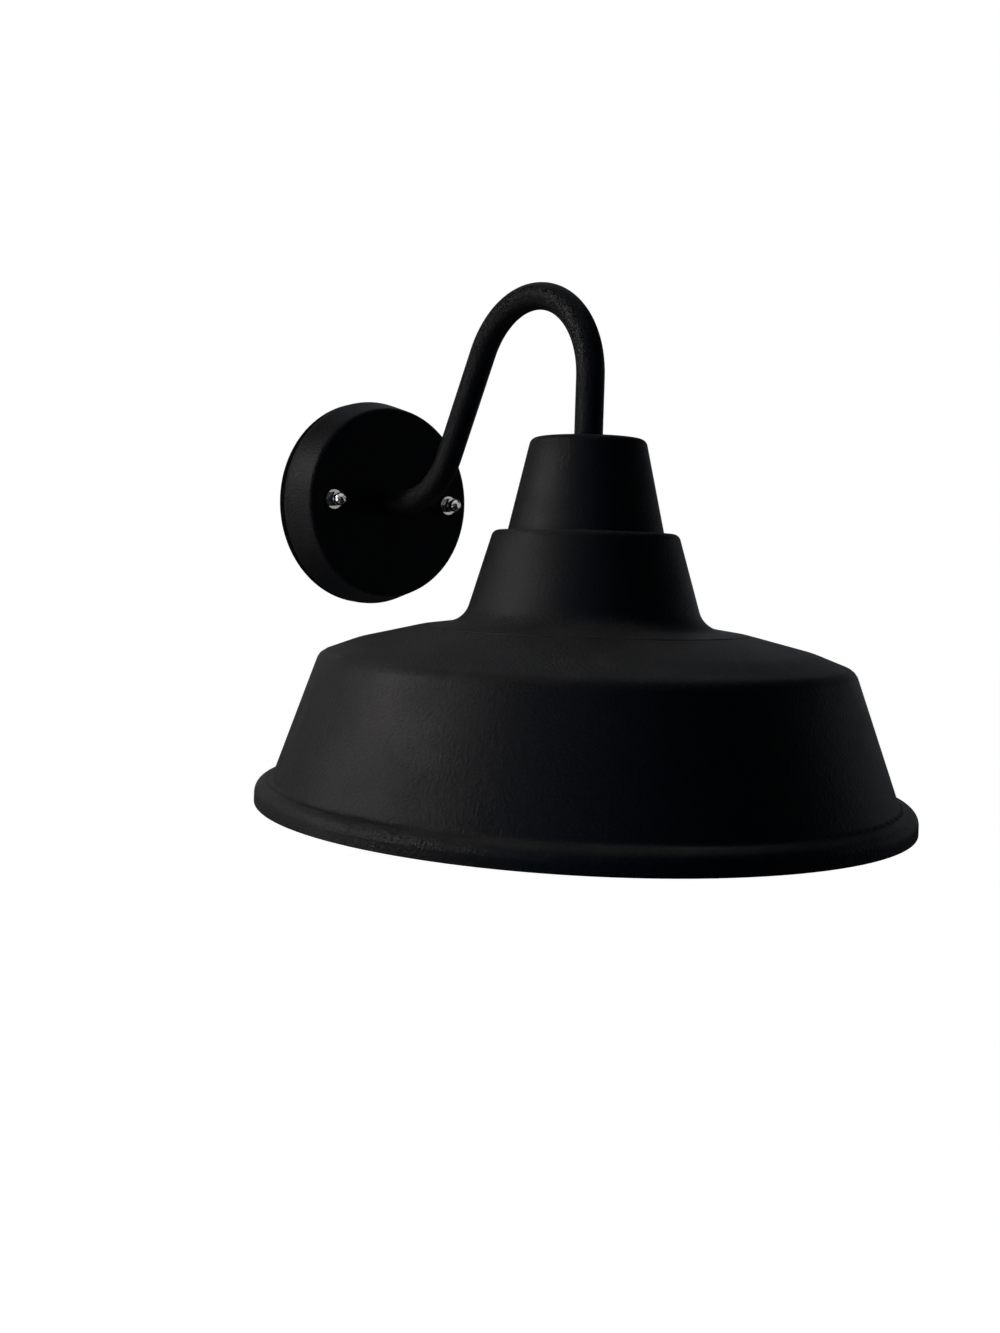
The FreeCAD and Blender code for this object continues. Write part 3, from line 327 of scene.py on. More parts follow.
def black_coat(tree, place, dust_and_top_light_amount):
    """Colour, roughness and normal of the black coat."""
    skin = use(tree, grain, Vector=place)
    slow = use(tree, mottle, Vector=place)["Value"]
    dust_and_top_light_mask = use(tree, dust_and_top_light, Vector=place, Amount=dust_and_top_light_amount)["Mask"]
    tone = blend(tree, sum_of(tree, "MULTIPLY", skin["Speck"], rubbed_share), black, rubbed_black)
    # Painted light from above, partly dust: up-facing surfaces blend to a pale tone.
    tone = blend(tree, dust_and_top_light_mask, tone, dust_and_top_light_tone)
    gloss = ramp(tree, slow, 0.0, 1.0, *coat_gloss)
    gloss = sum_of(tree, "ADD", gloss, sum_of(tree, "MULTIPLY", dust_and_top_light_mask, dust_dulls))
    return tone, gloss, bump(tree, skin["Height"], coat_depth, coat_bump)


def coat_material():
    material, tree, shader, place = new_material("black_coat", Specular_IOR_Level=coat_specular)
    tone, gloss, relief = black_coat(tree, place, arm_dust)
    connect(tree, shader, Base_Color=tone, Roughness=gloss, Normal=relief)
    return material


black_material = coat_material()
print("coat", black_material.name, "relief", round(coat_depth / MM, 2), "mm")

# %% [markdown]
# The shade is coated white inside, to throw the light down. Two pieces, one inside the
# other, would show both coats, but the real shade is one sheet, sprayed on each side. So
# it keeps its one mesh, and a mask tells the sides apart: the way the surface faces,
# inwards or outwards of the shade's axis. At the rolled rim a height decides as well.

# %% Shade, black outside and white inside
# Strong pale tone on the shade's up-facing surfaces: part dust, part painted light from above.
shade_dust_and_top_light = 0.2
white_enamel = (0.80, 0.79, 0.76)
aged_enamel = (0.66, 0.65, 0.61)
aged_share = 0.12
aged_scale = 30.0
enamel_gloss = 0.32
peel_scale = 420.0
peel_depth = 0.03 * MM
peel_bump = 0.5
outward_share = 0.6
upward_share = 0.8
white_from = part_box("shade_dish")[0].z + 0.75 * MM


def inside_mask(tree, place):
    """1 on the inner side of the shade, above the rim's roll."""
    parts = add(tree, "ShaderNodeSeparateXYZ", {0: about(tree, place, shade_axis)}).outputs
    flat = add(tree, "ShaderNodeCombineXYZ", {"X": parts["X"], "Y": parts["Y"]}).outputs[0]
    outwards = add(tree, "ShaderNodeVectorMath", {0: flat}, operation="NORMALIZE").outputs[0]
    normal = add(tree, "ShaderNodeNewGeometry").outputs["Normal"]
    radial = add(tree, "ShaderNodeVectorMath", {0: outwards, 1: normal}, operation="DOT_PRODUCT")
    facing = sum_of(tree, "ADD", sum_of(tree, "MULTIPLY", radial.outputs["Value"], outward_share),
                    sum_of(tree, "MULTIPLY", part_of(tree, normal, "Z"), upward_share))
    inside = sum_of(tree, "LESS_THAN", facing, 0.0)
    return sum_of(tree, "MULTIPLY", inside, sum_of(tree, "GREATER_THAN", parts["Z"], white_from))


def shade_material():
    material, tree, shader, place = new_material("black_coat_white_inside", Specular_IOR_Level=coat_specular)
    tone, gloss, relief = black_coat(tree, place, shade_dust_and_top_light)
    white = inside_mask(tree, place)
    aged = sum_of(tree, "MULTIPLY", use(tree, mottle, Vector=place, Scale=aged_scale)["Value"], aged_share)
    enamel = blend(tree, aged, white_enamel, aged_enamel)
    peel = bump(tree, noise(tree, place, peel_scale), peel_depth, peel_bump)
    connect(tree, shader, Base_Color=blend(tree, white, tone, enamel),
            Roughness=mix(tree, "FLOAT", white, gloss, enamel_gloss),
            Normal=mix(tree, "VECTOR", white, relief, peel))
    return material


two_coat_material = shade_material()
print("coat", two_coat_material.name, "white from", round(white_from, 4), "m")

# %% [markdown]
# Rubber and plastics. Moulded parts differ mostly in gloss and in how fine their skin is,
# so one function makes them all from two tones, a gloss and a grain. The diffuser is an
# opal plastic: light goes a few millimetres in and comes out soft. Transparency would show
# the board behind it, so it is subsurface scattering, which also keeps its edge pale.

# %% Rubber and plastics
cloud_scale = 45.0
cloud_share = 0.5
fine_to_coarse = 2.5
shinier = 0.05
duller = 0.06
moulded_bump = 0.5


def moulded_material(name, tone, second_tone, rough, depth, scale=1500.0, dust_and_top_light_amount=0.06, **numbers):
    """Moulded rubber, plastic or glass: two tones in slow clouds under a fine skin."""
    material, tree, shader, place = new_material(name, **numbers)
    slow = use(tree, mottle, Vector=place, Scale=cloud_scale)["Value"]
    colour = blend(tree, sum_of(tree, "MULTIPLY", slow, cloud_share), tone, second_tone)
    colour = blend(tree, use(tree, dust_and_top_light, Vector=place, Amount=dust_and_top_light_amount)["Mask"], colour, dust_and_top_light_tone)
    gloss = ramp(tree, slow, 0.0, 1.0, rough - shinier, rough + duller)
    skin = use(tree, grain, Vector=place, Coarse=scale, Fine=scale * fine_to_coarse)["Height"]
    connect(tree, shader, Base_Color=colour, Roughness=gloss, Normal=bump(tree, skin, depth, moulded_bump))
    return material


rubber_material = moulded_material("black_rubber", (0.0016, 0.0016, 0.0019), (0.0034, 0.0034, 0.0036),
                                   rough=0.86, depth=0.04 * MM, dust_and_top_light_amount=0.01, Specular_IOR_Level=0.08)
block_material = moulded_material("terminal_block_plastic", (0.74, 0.73, 0.68), (0.66, 0.65, 0.59),
                                  rough=0.42, depth=0.02 * MM)
bush_material = moulded_material("wire_bush_plastic", (0.7, 0.7, 0.67), (0.62, 0.61, 0.57),
                                 rough=0.4, depth=0.01 * MM)
housing_material = moulded_material("lamp_housing_plastic", (0.82, 0.82, 0.81), (0.77, 0.77, 0.75),
                                    rough=0.36, depth=0.015 * MM, scale=2200.0)
insulator_material = moulded_material("lamp_insulator_glass", (0.02, 0.02, 0.024), (0.03, 0.03, 0.034),
                                      rough=0.16, depth=0.006 * MM, Coat_Weight=0.6, Coat_Roughness=0.08)
opal_material = moulded_material("opal_diffuser", (0.9, 0.9, 0.88), (0.86, 0.86, 0.83), rough=0.3,
                                 depth=0.008 * MM, scale=2600.0, Subsurface_Weight=0.35,
                                 Subsurface_Radius=(3 * MM, 3 * MM, 3 * MM), Subsurface_Scale=1.0)
print("rubber and plastics", [material.name for material in (
    rubber_material, block_material, bush_material, housing_material, insulator_material, opal_material)])

# %% [markdown]
# Porcelain and its glaze. The lampholder is white ware under a clear glaze, so the tone
# sits under a coat layer with its own, much smoother gloss. A smooth white shader alone
# would pass for plastic. Fired ware has faint specks of iron and a soft wave where the
# glaze ran, and these two make it porcelain.

# %% Porcelain
ware_tones = ((0.83, 0.82, 0.77), (0.78, 0.77, 0.71))
ware_cloud_scale = 60.0
iron_speck = (0.33, 0.27, 0.2)
iron_scale = 700.0
iron_levels = (0.74, 0.78)
iron_share = 0.6
glaze_wave_scale = 130.0
glaze_wave_depth = 0.12 * MM
glaze_bump = 0.5


def porcelain():
    material, tree, shader, place = new_material("glazed_porcelain", Coat_Weight=0.85, Coat_Roughness=0.07,
                                                 Roughness=0.34)
    colour = blend(tree, use(tree, mottle, Vector=place, Scale=ware_cloud_scale)["Value"], *ware_tones)
    specks = sum_of(tree, "MULTIPLY", ramp(tree, noise(tree, place, iron_scale), *iron_levels), iron_share)
    wave = bump(tree, noise(tree, place, glaze_wave_scale), glaze_wave_depth, glaze_bump)
    connect(tree, shader, Base_Color=blend(tree, specks, colour, iron_speck), Normal=wave)
    return material


porcelain_material = porcelain()
print("ceramic", porcelain_material.name)

# %% [markdown]
# Metals. What tells them apart is their tone, how sharp they mirror and the marks left by
# making them. Nickel-plated nuts are polished and mirror the room. Zinc on steel is
# duller, with a cloudy bluish and straw tint. Brass is stamped or rolled and tarnishes in
# patches. All are one function of tone, gloss and marks, about the axis that the piece
# was turned on: a nut's axis points at the wall, a lamp's and its holder's hang down.

# %% Metals
metal_cloud_scale = 160.0
metal_scratch_scale = 110.0
bright_factor = 0.8
dull_factor = 1.25
turned_depth = 0.004 * MM
turned_bump = 0.45
towards_wall = (math.radians(90), 0.0, 0.0)


def metal_material(name, tone, second_tone, rough, centre=(0, 0, 0), turn=(0, 0, 0), lines=5200.0, tint=0.6,
                   worn=0.25):
    """Metal with two tones in clouds, rings from turning and scratches that dull it."""
    material, tree, shader, place = new_material(name, Metallic=1.0)
    slow = use(tree, mottle, Vector=place, Scale=metal_cloud_scale)["Value"]
    marks = use(tree, scratches, Vector=place, Scale=metal_scratch_scale)["Mask"]
    rings = use(tree, turning, Vector=about(tree, place, centre, turn), Lines=lines)["Height"]
    colour = blend(tree, sum_of(tree, "MULTIPLY", slow, tint), tone, second_tone)
    gloss = ramp(tree, slow, 0.0, 1.0, rough * bright_factor, rough * dull_factor)
    gloss = sum_of(tree, "ADD", gloss, sum_of(tree, "MULTIPLY", marks, worn), clamp=True)
    relief = bump(tree, rings, turned_depth, turned_bump)
    connect(tree, shader, Base_Color=colour, Roughness=gloss, Normal=relief)
    return material


bright_nodes = ("cap_nut_left", "cap_nut_right", "cap_washer_left", "cap_washer_right")
nickel_tones = ((0.72, 0.70, 0.67), (0.62, 0.60, 0.58))
nut_materials = {node: metal_material("bright_nickel_" + node, *nickel_tones, rough=0.13, centre=middle(node),
                                      turn=towards_wall, lines=6500.0, tint=0.4, worn=0.15)
                 for node in bright_nodes}
zinc_material = metal_material("zinc_plated_steel", (0.56, 0.58, 0.6), (0.6, 0.57, 0.47), rough=0.36,
                               lines=2600.0)
brass_material = metal_material("brass", (0.72, 0.53, 0.25), (0.5, 0.34, 0.16), rough=0.3, centre=shade_axis)
lamp_metal_material = metal_material("lamp_cap_aluminium", (0.78, 0.78, 0.77), (0.66, 0.66, 0.66), rough=0.27,
                                     centre=shade_axis, lines=3200.0)
print("metals", 3 + len(nut_materials))

# %% [markdown]
# Wires. A wire is copper in a coloured skin, bare where it enters a terminal. Skin and
# copper could be two pieces, but the frame has each wire as one solid, so a mask by place
# strips its ends. The earth wire's second colour runs along it, and that mask comes from
# the way the skin faces.

# %% Wires
copper = (0.72, 0.36, 0.2)
stripe_levels = (0.05, 0.2)
bare_from = 12.5 * MM
holder_reach = 30 * MM
wire_cloud_scale = 70.0
wire_gloss = (0.34, 0.46)
wire_depth = 0.02 * MM
wire_bump = 0.4


def bare_in_block(tree, place):
    """1 at the ends that lie in the terminal block's sleeves."""
    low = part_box("terminal_sleeves")[0]
    above = sum_of(tree, "GREATER_THAN", part_of(tree, place, "Z"), low.z)
    near_wall = sum_of(tree, "GREATER_THAN", part_of(tree, place, "Y"), low.y)
    return sum_of(tree, "MULTIPLY", above, near_wall)


def bare_at_both_ends(tree, place):
    """1 in the terminal block and under the lampholder's screws."""
    across = part_of(tree, place, "Y")
    off_axis = sum_of(tree, "ABSOLUTE", sum_of(tree, "SUBTRACT", across, shade_middle.y))
    at_screw = sum_of(tree, "GREATER_THAN", off_axis, bare_from)
    on_holder = sum_of(tree, "LESS_THAN", across, shade_middle.y + holder_reach)
    bare = sum_of(tree, "MAXIMUM", bare_in_block(tree, place), sum_of(tree, "MULTIPLY", at_screw, on_holder))
    in_shade = sum_of(tree, "LESS_THAN", part_of(tree, place, "Z"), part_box("shade_cap")[1].z)
    in_canopy = sum_of(tree, "GREATER_THAN", across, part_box("canopy")[0].y)
    return sum_of(tree, "MULTIPLY", bare, sum_of(tree, "MAXIMUM", in_shade, in_canopy))


def bare_at_ring(tree, place):
    """1 in the terminal block and in the ring terminal of the earth wire."""
    crimped = sum_of(tree, "LESS_THAN", part_of(tree, place, "Z"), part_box("earth_ring_terminal")[1].z)
    return sum_of(tree, "MAXIMUM", bare_in_block(tree, place), crimped)


def wire_material(name, tone, second_tone, bare_mask):
    """Coloured skin with a stripe of a second tone, and copper where the mask is 1."""
    material, tree, shader, place = new_material(name, Specular_IOR_Level=0.45)
    facing = part_of(tree, add(tree, "ShaderNodeNewGeometry").outputs["Normal"], "X")
    skin = blend(tree, ramp(tree, facing, *stripe_levels), tone, second_tone)
    bare = bare_mask(tree, place)
    slow = use(tree, mottle, Vector=place, Scale=wire_cloud_scale)["Value"]
    strands = use(tree, grain, Vector=place, Coarse=1800.0, Fine=4200.0)["Height"]
    connect(tree, shader, Base_Color=blend(tree, bare, skin, copper), Metallic=bare,
            Roughness=ramp(tree, slow, 0.0, 1.0, *wire_gloss),
            Normal=bump(tree, strands, wire_depth, wire_bump))
    return material


brown_material = wire_material("wire_brown", (0.2, 0.085, 0.04), (0.23, 0.1, 0.05), bare_at_both_ends)
blue_material = wire_material("wire_blue", (0.045, 0.13, 0.4), (0.06, 0.16, 0.46), bare_at_both_ends)
earth_material = wire_material("wire_green_yellow", (0.08, 0.36, 0.09), (0.78, 0.66, 0.06), bare_at_ring)
print("wires", [material.name for material in (brown_material, blue_material, earth_material)])

# %% [markdown]
# The board under the diffuser is white lacquer with a ring of small yellow chips. The
# chips stand a little proud of the board, and lie on its lower face, so height tells
# them from the lacquer without a material slot of their own.

# %% Lamp board
lacquer_tones = ((0.84, 0.84, 0.82), (0.78, 0.78, 0.75))
chip_tone = (0.82, 0.66, 0.14)
chip_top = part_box("lamp_led_board")[0].z + 0.5 * MM
board_cloud_scale = 90.0
board_gloss = (0.3, 0.42)
board_grain_scale = 900.0
board_depth = 0.01 * MM
board_bump = 0.4


def board_material():
    material, tree, shader, place = new_material("lamp_board", Specular_IOR_Level=0.5)
    chips = sum_of(tree, "LESS_THAN", part_of(tree, place, "Z"), chip_top)
    slow = use(tree, mottle, Vector=place, Scale=board_cloud_scale)["Value"]
    colour = blend(tree, chips, blend(tree, slow, *lacquer_tones), chip_tone)
    skin = bump(tree, noise(tree, place, board_grain_scale), board_depth, board_bump)
    connect(tree, shader, Base_Color=colour, Roughness=ramp(tree, slow, 0.0, 1.0, *board_gloss), Normal=skin)
    return material


led_board_material = board_material()
print("board", led_board_material.name)

# %% [markdown]
# Threads. The frame has plain rods and rings where the real lamp has threads: a rolled M5
# on each stud, which a nut climbs by 0.8 mm a turn, and the deep round thread of a lamp's
# cap. A bump of rings would be quick, but rings don't climb. Spinning the outline of one
# tooth about the axis, with a small step along it at each stop, gives the true helix. One
# turn is enough: its end meets its start one pitch further on, so copies stack into any
# length, and merging the doubles joins them.

# %% Threads
steps_per_turn = 64
merge_share = 0.01


def thread_mesh(tooth, pitch, turns, start):
    """A tooth's outline, (radius, height) over one pitch, wound up about the Z axis from a height."""
    bm = bmesh.new()
    points = [bm.verts.new((radius, 0, height)) for radius, height in tooth]
    edges = [bm.edges.new(pair) for pair in zip(points[:-1], points[1:])]
    climb = (0, 0, pitch / steps_per_turn)
    bmesh.ops.spin(bm, geom=points + edges, cent=(0, 0, 0), axis=(0, 0, 1), dvec=climb, angle=math.tau,
                   steps=steps_per_turn, use_merge=False, use_duplicate=False)
    one_turn = bm.verts[:] + bm.edges[:] + bm.faces[:]
    for i in range(1, turns):
        copies = bmesh.ops.duplicate(bm, geom=one_turn)["geom"]
        moved = [item for item in copies if isinstance(item, bmesh.types.BMVert)]
        bmesh.ops.translate(bm, verts=moved, vec=(0, 0, pitch * i))
    bmesh.ops.remove_doubles(bm, verts=bm.verts, dist=pitch * merge_share)
    bmesh.ops.recalc_face_normals(bm, faces=bm.faces)
    bmesh.ops.translate(bm, verts=bm.verts, vec=(0, 0, start))
    return bm


def cut_level(bm, height, above):
    """Cut away what is above or below a height; returns the edges of the cut."""
    cut = bmesh.ops.bisect_plane(bm, geom=bm.verts[:] + bm.edges[:] + bm.faces[:], plane_co=(0, 0, height),
                                 plane_no=(0, 0, 1 if above else -1), clear_outer=True)
    return [item for item in cut["geom_cut"] if isinstance(item, bmesh.types.BMEdge)]


print("thread in steps of", 360 / steps_per_turn, "degrees")

# %% [markdown]
# Two more helpers. A made piece is often built as several closed shapes, and a bmesh takes
# another one in only by way of a mesh. A finished piece is shaded smooth, and only its
# real corners stay sharp, found by the angle between their faces. It then rides on a body
# of the frame and stands for the nodes that it replaces.

# %% Joining and finishing a made piece
sharp_from = math.radians(34)


def join_into(whole, part):
    """Add one bmesh to another and free it."""
    shape = bpy.data.meshes.new("part")
    part.to_mesh(shape)
    part.free()
    whole.from_mesh(shape)
    bpy.data.meshes.remove(shape)


def finish_piece(name, bm, material, body, slot_name, *replaced):
    """Turn a bmesh into a piece of the lamp."""
    for face in bm.faces:
        face.smooth = True
    for edge in bm.edges:
        edge.smooth = edge.calc_face_angle(0) < sharp_from
    mesh = bpy.data.meshes.new(name)
    bm.to_mesh(mesh)
    bm.free()
    mesh.materials.append(material)
    piece = bpy.data.objects.new(name, mesh)
    bpy.context.scene.collection.objects.link(piece)
    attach(piece, body)
    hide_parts(*replaced)
    print(name, len(mesh.polygons), "faces")


print("corners are sharp from", round(math.degrees(sharp_from)), "degrees")

# %% [markdown]
# A stud is a head pressed flush into the bracket, a shank and the thread. A rod with a
# texture would do from afar, but with the nut unscrewed its thread is in plain view. Head
# and thread are made along Z, because a spin about Z is easy to follow, and then turned to
# point out from the wall. The head is a plain disc, and the thread starts inside it.

# %% Studs
stud_pitch = 0.8 * MM
stud_depth = 0.43 * MM
stud_low, stud_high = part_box("bracket_studs")
stud_reach = stud_high.y - stud_low.y
stud_radius = 2.5 * MM
stud_root = stud_radius - stud_depth
stud_head_radius = 3.9 * MM
stud_head_thickness = 1.4 * MM
stud_head_sides = 48
stud_places = [middle("cap_nut_left").x, middle("cap_nut_right").x]
tooth_flat = 0.12 * stud_pitch
tooth = [(stud_root, 0), (stud_root, tooth_flat), (stud_radius, stud_pitch / 2 - tooth_flat / 2),
         (stud_radius, stud_pitch / 2 + tooth_flat / 2), (stud_root, stud_pitch - tooth_flat),
         (stud_root, stud_pitch)]
turns_below = 2
spare_turns = 4


def stud(x):
    """One stud, from its head on the wall's side to the end of its thread."""
    turns = math.ceil(stud_reach / stud_pitch) + spare_turns
    bm = thread_mesh(tooth, stud_pitch, turns, -turns_below * stud_pitch)
    for height, above in ((stud_reach, True), (stud_head_thickness / 2, False)):
        bmesh.ops.holes_fill(bm, edges=cut_level(bm, height, above), sides=0)
    head = bmesh.ops.create_cone(bm, cap_ends=True, segments=stud_head_sides, radius1=stud_head_radius,
                                 radius2=stud_head_radius, depth=stud_head_thickness)["verts"]
    bmesh.ops.translate(bm, verts=head, vec=(0, 0, stud_head_thickness / 2))
    bmesh.ops.rotate(bm, verts=bm.verts, cent=(0, 0, 0), matrix=Matrix.Rotation(math.radians(90), 3, "X"))
    bmesh.ops.translate(bm, verts=bm.verts, vec=(x, stud_high.y, 0))
    return bm


studs = bmesh.new()
for stud_place in stud_places:
    join_into(studs, stud(stud_place))
finish_piece("threaded_studs", studs, zinc_material, "fixture", "zinc_steel", "bracket_studs")

# %% [markdown]
# The lamp's cap is rolled from thin sheet, so its round thread is a wave with no corners.
# The outline is one turn of a cosine, wound up like the stud's tooth, cut to length and
# then given the sheet's thickness. The plain collar below the thread and the turned-in
# edge above it are closed outlines spun about the same axis.

# %% Lamp cap
lamp_pitch = 3.63 * MM
lamp_sheet = 0.5 * MM
wave_depth = 0.57 * MM
wave_steps = 12
collar_height = 5.4 * MM
start_below = 1.2 * lamp_pitch
lamp_spare_turns = 2
merge_distance = 0.001 * MM
cap_low, cap_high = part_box("lamp_screw_cap")
cap_crest = min(cap_high.x, -cap_low.x)
cap_root = cap_crest - wave_depth


def turned_ring(outline):
    """Closed outline of (radius, height) spun about the Z axis."""
    ring = bmesh.new()
    points = [ring.verts.new((radius, 0, height)) for radius, height in outline]
    edges = [ring.edges.new(pair) for pair in zip(points, points[1:] + points[:1])]
    bmesh.ops.spin(ring, geom=points + edges, cent=(0, 0, 0), axis=(0, 0, 1), dvec=(0, 0, 0), angle=math.tau,
                   steps=steps_per_turn, use_merge=True, use_duplicate=False)
    bmesh.ops.remove_doubles(ring, verts=ring.verts, dist=merge_distance)
    bmesh.ops.recalc_face_normals(ring, faces=ring.faces)
    return ring


def rolled_thread(low, high):
    """Wavy sheet about the Z axis between two heights."""
    turns_of_wave = [i / wave_steps for i in range(wave_steps + 1)]
    wave = [(cap_crest - wave_depth * (1 + math.cos(math.tau * turn)) / 2, lamp_pitch * turn)
            for turn in turns_of_wave]
    turns = math.ceil((high - low) / lamp_pitch) + lamp_spare_turns
    sheet = thread_mesh(wave, lamp_pitch, turns, low - start_below)
    cut_level(sheet, high, True)
    cut_level(sheet, low, False)
    bmesh.ops.solidify(sheet, geom=sheet.faces[:], thickness=lamp_sheet)
    return sheet


thread_low = cap_low.z + collar_height - lamp_sheet
thread_high = cap_high.z - 2 * lamp_sheet
collar_inner = cap_root - lamp_sheet
collar = [(cap_root, cap_low.z), (cap_root, cap_low.z + collar_height),
          (collar_inner, cap_low.z + collar_height), (collar_inner, cap_low.z)]
turned_in = [(cap_root, thread_high), (cap_root, cap_high.z), (collar_inner - lamp_sheet, cap_high.z),
             (collar_inner - lamp_sheet, cap_high.z - lamp_sheet), (collar_inner, thread_high)]
lamp_cap = rolled_thread(thread_low, thread_high)
for outline in (collar, turned_in):
    join_into(lamp_cap, turned_ring(outline))
radii = [v.co.xy.length / MM for v in lamp_cap.verts]
print("cap radii", round(min(radii), 2), "to", round(max(radii), 2), "mm")
bmesh.ops.translate(lamp_cap, verts=lamp_cap.verts, vec=(0, (cap_low.y + cap_high.y) / 2, 0))
finish_piece("threaded_lamp_cap", lamp_cap, lamp_metal_material, "lamp", "lamp_metal", "lamp_screw_cap")

# %% [markdown]
# Every piece of the frame keeps its shape and gets its finish, also the two that the made
# pieces stand for. A list of which finish goes where is easier to check than a line of
# code for each piece, and the count at its end shows that none was forgotten.

# %% Finishes on the frame's pieces
finishes = {
    black_material: ["canopy", "gooseneck_arm", "shade_cap"],
    two_coat_material: ["shade_neck", "shade_dish"],
    rubber_material: ["wall_gasket", "stud_seals", "arm_seals", "cap_gasket"],
    zinc_material: ["mounting_bracket", "arm_nipples", "nipple_washers", "nipple_nuts", "holder_bracket",
                    "holder_screws", "cap_screws", "terminal_block_screws", "earth_screw", "earth_cup_washer",
                    "terminal_clamp_screws", "bracket_studs"],
    brass_material: ["terminal_sleeves", "holder_terminals", "holder_terminal_screws", "holder_rivets",
                     "holder_screw_shell", "holder_centre_contact", "earth_ring_terminal"],
    porcelain_material: ["holder_body"],
    block_material: ["terminal_block"],
    bush_material: ["wire_bushes"],
    brown_material: ["wire_live"],
    blue_material: ["wire_neutral"],
    earth_material: ["wire_earth"],
    lamp_metal_material: ["lamp_screw_cap", "lamp_contact"],
    insulator_material: ["lamp_insulator"],
    housing_material: ["lamp_housing"],
    led_board_material: ["lamp_led_board"],
    opal_material: ["lamp_diffuser"],
}
finishes.update({material: [node] for node, material in nut_materials.items()})
finished = set()
for material, names in finishes.items():
    for name in names:
        nodes[name].data.materials.clear()
        nodes[name].data.materials.append(material)
        finished.add(name)
print("finished", len(finished), "of", len(nodes), "nodes; left:", sorted(set(nodes) - finished))

# %% [markdown]
# Floor. The picture's background is plain white. Lamps bright enough to make a pale floor
# white would burn out the object, so the floor glows only for rays that come from the
# camera, through Light Path. For all other rays it is a plain pale floor that throws a
# little light up at the lamp.

# %% Floor
floor_height = -1.1
floor_size = 14.0
floor_tone = 0.55
floor_glow = 0.99


def pale_floor():
    bm = bmesh.new()
    bmesh.ops.create_grid(bm, x_segments=1, y_segments=1, size=floor_size)
    bmesh.ops.translate(bm, verts=bm.verts, vec=(shade_middle.x, shade_middle.y, floor_height))
    mesh = bpy.data.meshes.new("floor")
    bm.to_mesh(mesh)
    bm.free()
    floor = bpy.data.objects.new("floor", mesh)
    bpy.context.scene.collection.objects.link(floor)
    material, tree, shader, _ = new_material("pale_floor", Roughness=0.9)
    shader.inputs["Base Color"].default_value = (floor_tone, floor_tone, floor_tone, 1)
    shader.inputs["Emission Color"].default_value = (1, 1, 1, 1)
    seen = add(tree, "ShaderNodeLightPath").outputs["Is Camera Ray"]
    connect(tree, shader, Emission_Strength=sum_of(tree, "MULTIPLY", seen, floor_glow))
    mesh.materials.append(material)


pale_floor()
print("floor", floor_height, "m")

# %% [markdown]
# Room. The world is white to the camera and to rays that pass through something clear. To
# the light that falls on the object it is almost dark, because a half-matt black coat
# mirrors whatever is round it: in a white room every edge would glow and the dark right
# side, which the picture has, would be lost. The lamps below do the lighting.

# %% Room
room_light = 0.01
room_shine = (0.005, 0.01)
room_from_front = (-0.25, 0.6)


def room():
    world = bpy.data.worlds.new("studio")
    bpy.context.scene.world = world
    world.use_nodes = True
    tree = world.node_tree
    surface = tree.nodes["Background"]
    rays = add(tree, "ShaderNodeLightPath").outputs
    towards_back = part_of(tree, add(tree, "ShaderNodeTexCoord").outputs["Generated"], "Y")
    shine = ramp(tree, towards_back, *room_from_front, *room_shine)
    dim = mix(tree, "FLOAT", rays["Is Glossy Ray"], room_light, shine)
    plain = sum_of(tree, "MAXIMUM", rays["Is Camera Ray"], rays["Is Transmission Ray"])
    surface.inputs["Color"].default_value = (1, 1, 1, 1)
    tree.links.new(mix(tree, "FLOAT", plain, dim, 1.0), surface.inputs["Strength"])


room()
print("room", bpy.context.scene.world.name)

# %% [markdown]
# Soft lamps. A black object shows little of its own tone, so every lamp is judged by the
# band of light it leaves. The key stands high on the left, narrowed by a grid and aimed
# so that it stays off the wall plate; a near lamp fills the skirt below it; wide faint
# lamps behind and on the right draw the edges. Their first levels were not guessed: each
# lamp was rendered alone, and the mix nearest to the picture's tones was solved as a sum,
# then trimmed. A level is the brightness that a lamp gives a white card facing it,
# where 1 is white, and the power follows from the distance and the spread. The lamps on
# the left are a little warm and the far ones cool, and a faint blue one in front tints
# the darkest side, because the picture's shadows are blue.

# %% Soft lamps
warm = (1.04, 0.99, 0.965)
neutral = (1, 1, 1)
cool = (0.93, 0.99, 1.08)
blue = (0.35, 0.85, 1.8)
aim = Vector((0, shade_middle.y, -0.12))
aim_off_wall = aim - Vector((0, 50 * MM, 0))


def soft_light(name, level, turn, rise, distance, width, height, tone=neutral, spread=180.0, target=aim):
    """Rectangular lamp at a bearing from the camera's, facing a target; a grid narrows its spread."""
    bearing = view_bearing + math.radians(turn)
    up = math.radians(rise)
    away = Vector((math.sin(bearing) * math.cos(up), -math.cos(bearing) * math.cos(up), math.sin(up)))
    half = math.radians(spread) / 2
    gain = math.tan(half) / (math.tan(half) - half) if spread < 180 else 1
    lamp = bpy.data.lights.new(name, "AREA")
    lamp.shape = "RECTANGLE"
    lamp.size = width
    lamp.size_y = height
    lamp.spread = 2 * half
    lamp.color = tone
    lamp.energy = level * (math.pi * distance) ** 2 / gain
    holder = bpy.data.objects.new(name, lamp)
    holder.rotation_mode = "QUATERNION"
    holder.rotation_quaternion = away.to_track_quat("Z", "Y")
    holder.location = target + away * distance
    bpy.context.scene.collection.objects.link(holder)
    return holder


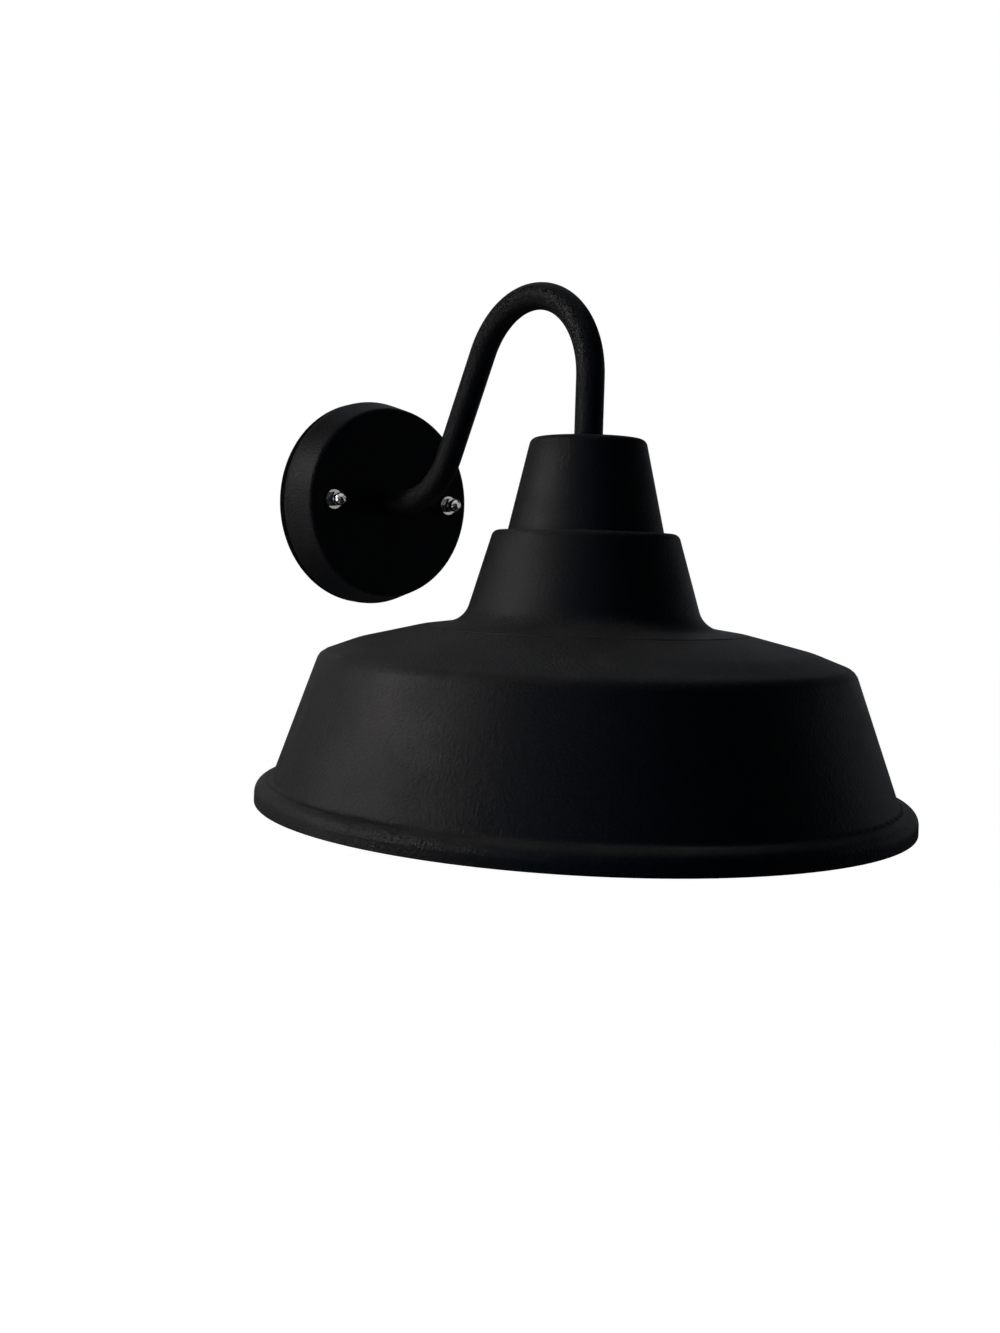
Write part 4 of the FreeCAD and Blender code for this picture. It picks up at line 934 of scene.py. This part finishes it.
# Name, level, turn and rise in degrees, distance, width and height in metres, tone.
soft_light("key_left", 1.1, -87, 28, 1.1, 0.4, 0.4, warm, spread=25.0, target=aim_off_wall)
for lamp_row in (("near_left", 0.14, -80, -3, 0.6, 0.35, 0.35, warm),
                 ("side_left", 0.018, -130, 0, 1.2, 0.8, 0.8, neutral),
                 ("back_left", 0.022, -150, 15, 1.6, 0.8, 0.8, neutral),
                 ("back", 0.035, 180, 15, 1.8, 1.2, 0.6, cool),
                 ("top_back", 0.042, 180, 50, 1.6, 1.0, 0.8, cool),
                 ("top", 0.044, 0, 85, 1.4, 1.0, 1.0, cool),
                 ("back_right", 0.018, 150, 10, 1.6, 0.7, 0.7, cool),
                 ("right", 0.009, 130, 10, 1.6, 0.7, 0.7, cool),
                 ("side_right", 0.014, 110, 5, 1.6, 0.7, 0.7, cool),
                 ("front", 0.028, -15, 10, 2.0, 1.2, 1.2, blue)):
    soft_light(*lamp_row)
print("soft lamps", len(bpy.data.lights))

# %% [markdown]
# The white inside of the shade would be nearly black in such a dark room. A lamp under the
# shade that lit it would also light the rim and the wall plate, so it is a narrow beam
# from straight below, whose edge falls inside the rim.

# %% Beam into the shade
mouth_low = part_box("shade_dish")[0]
beam_length = 0.8
beam_level = 0.7
beam_inside_rim = 19 * MM
beam_soft_edge = 0.12
beam_lamp_radius = 0.03

beam = bpy.data.lights.new("mouth_beam", "SPOT")
beam.spot_size = 2 * math.atan((abs(mouth_low.x) - beam_inside_rim) / beam_length)
beam.spot_blend = beam_soft_edge
beam.shadow_soft_size = beam_lamp_radius
beam.energy = beam_level * (math.tau * beam_length) ** 2
beam_holder = bpy.data.objects.new("mouth_beam", beam)
beam_holder.rotation_euler = (math.pi, 0, 0)
beam_holder.location = (0, shade_middle.y, mouth_low.z - beam_length)
bpy.context.scene.collection.objects.link(beam_holder)
print("beam", round(math.degrees(beam.spot_size), 1), "degrees wide")

# %% [markdown]
# Polished metal shows nothing but its surroundings, and in a dark room the bright nuts
# would look black. A photographer puts white cards round such a small piece. Here light
# linking keeps four wide cards to the nuts and washers, so that the coat doesn't see them.

# %% Cards for the nuts and washers
polished = bpy.data.collections.new("polished")
for node in bright_nodes:
    polished.objects.link(nodes[node])
for card_row in (("card_left", 0.4, -85, 15, 0.9, 1.4, 1.4), ("card_right", 0.3, 85, 10, 0.9, 1.2, 1.4),
                 ("card_top", 0.3, 20, 75, 0.9, 1.4, 1.2), ("card_below", 0.15, 20, -70, 0.9, 1.4, 1.2)):
    soft_light(*card_row).light_linking.receiver_collection = polished
print("lamps and cards", len(bpy.data.lights))

# %% [markdown]
# The colours are meant to be seen as written, so the view is Standard, with no film look.

# %% View and finish
bpy.context.scene.view_settings.view_transform = "Standard"
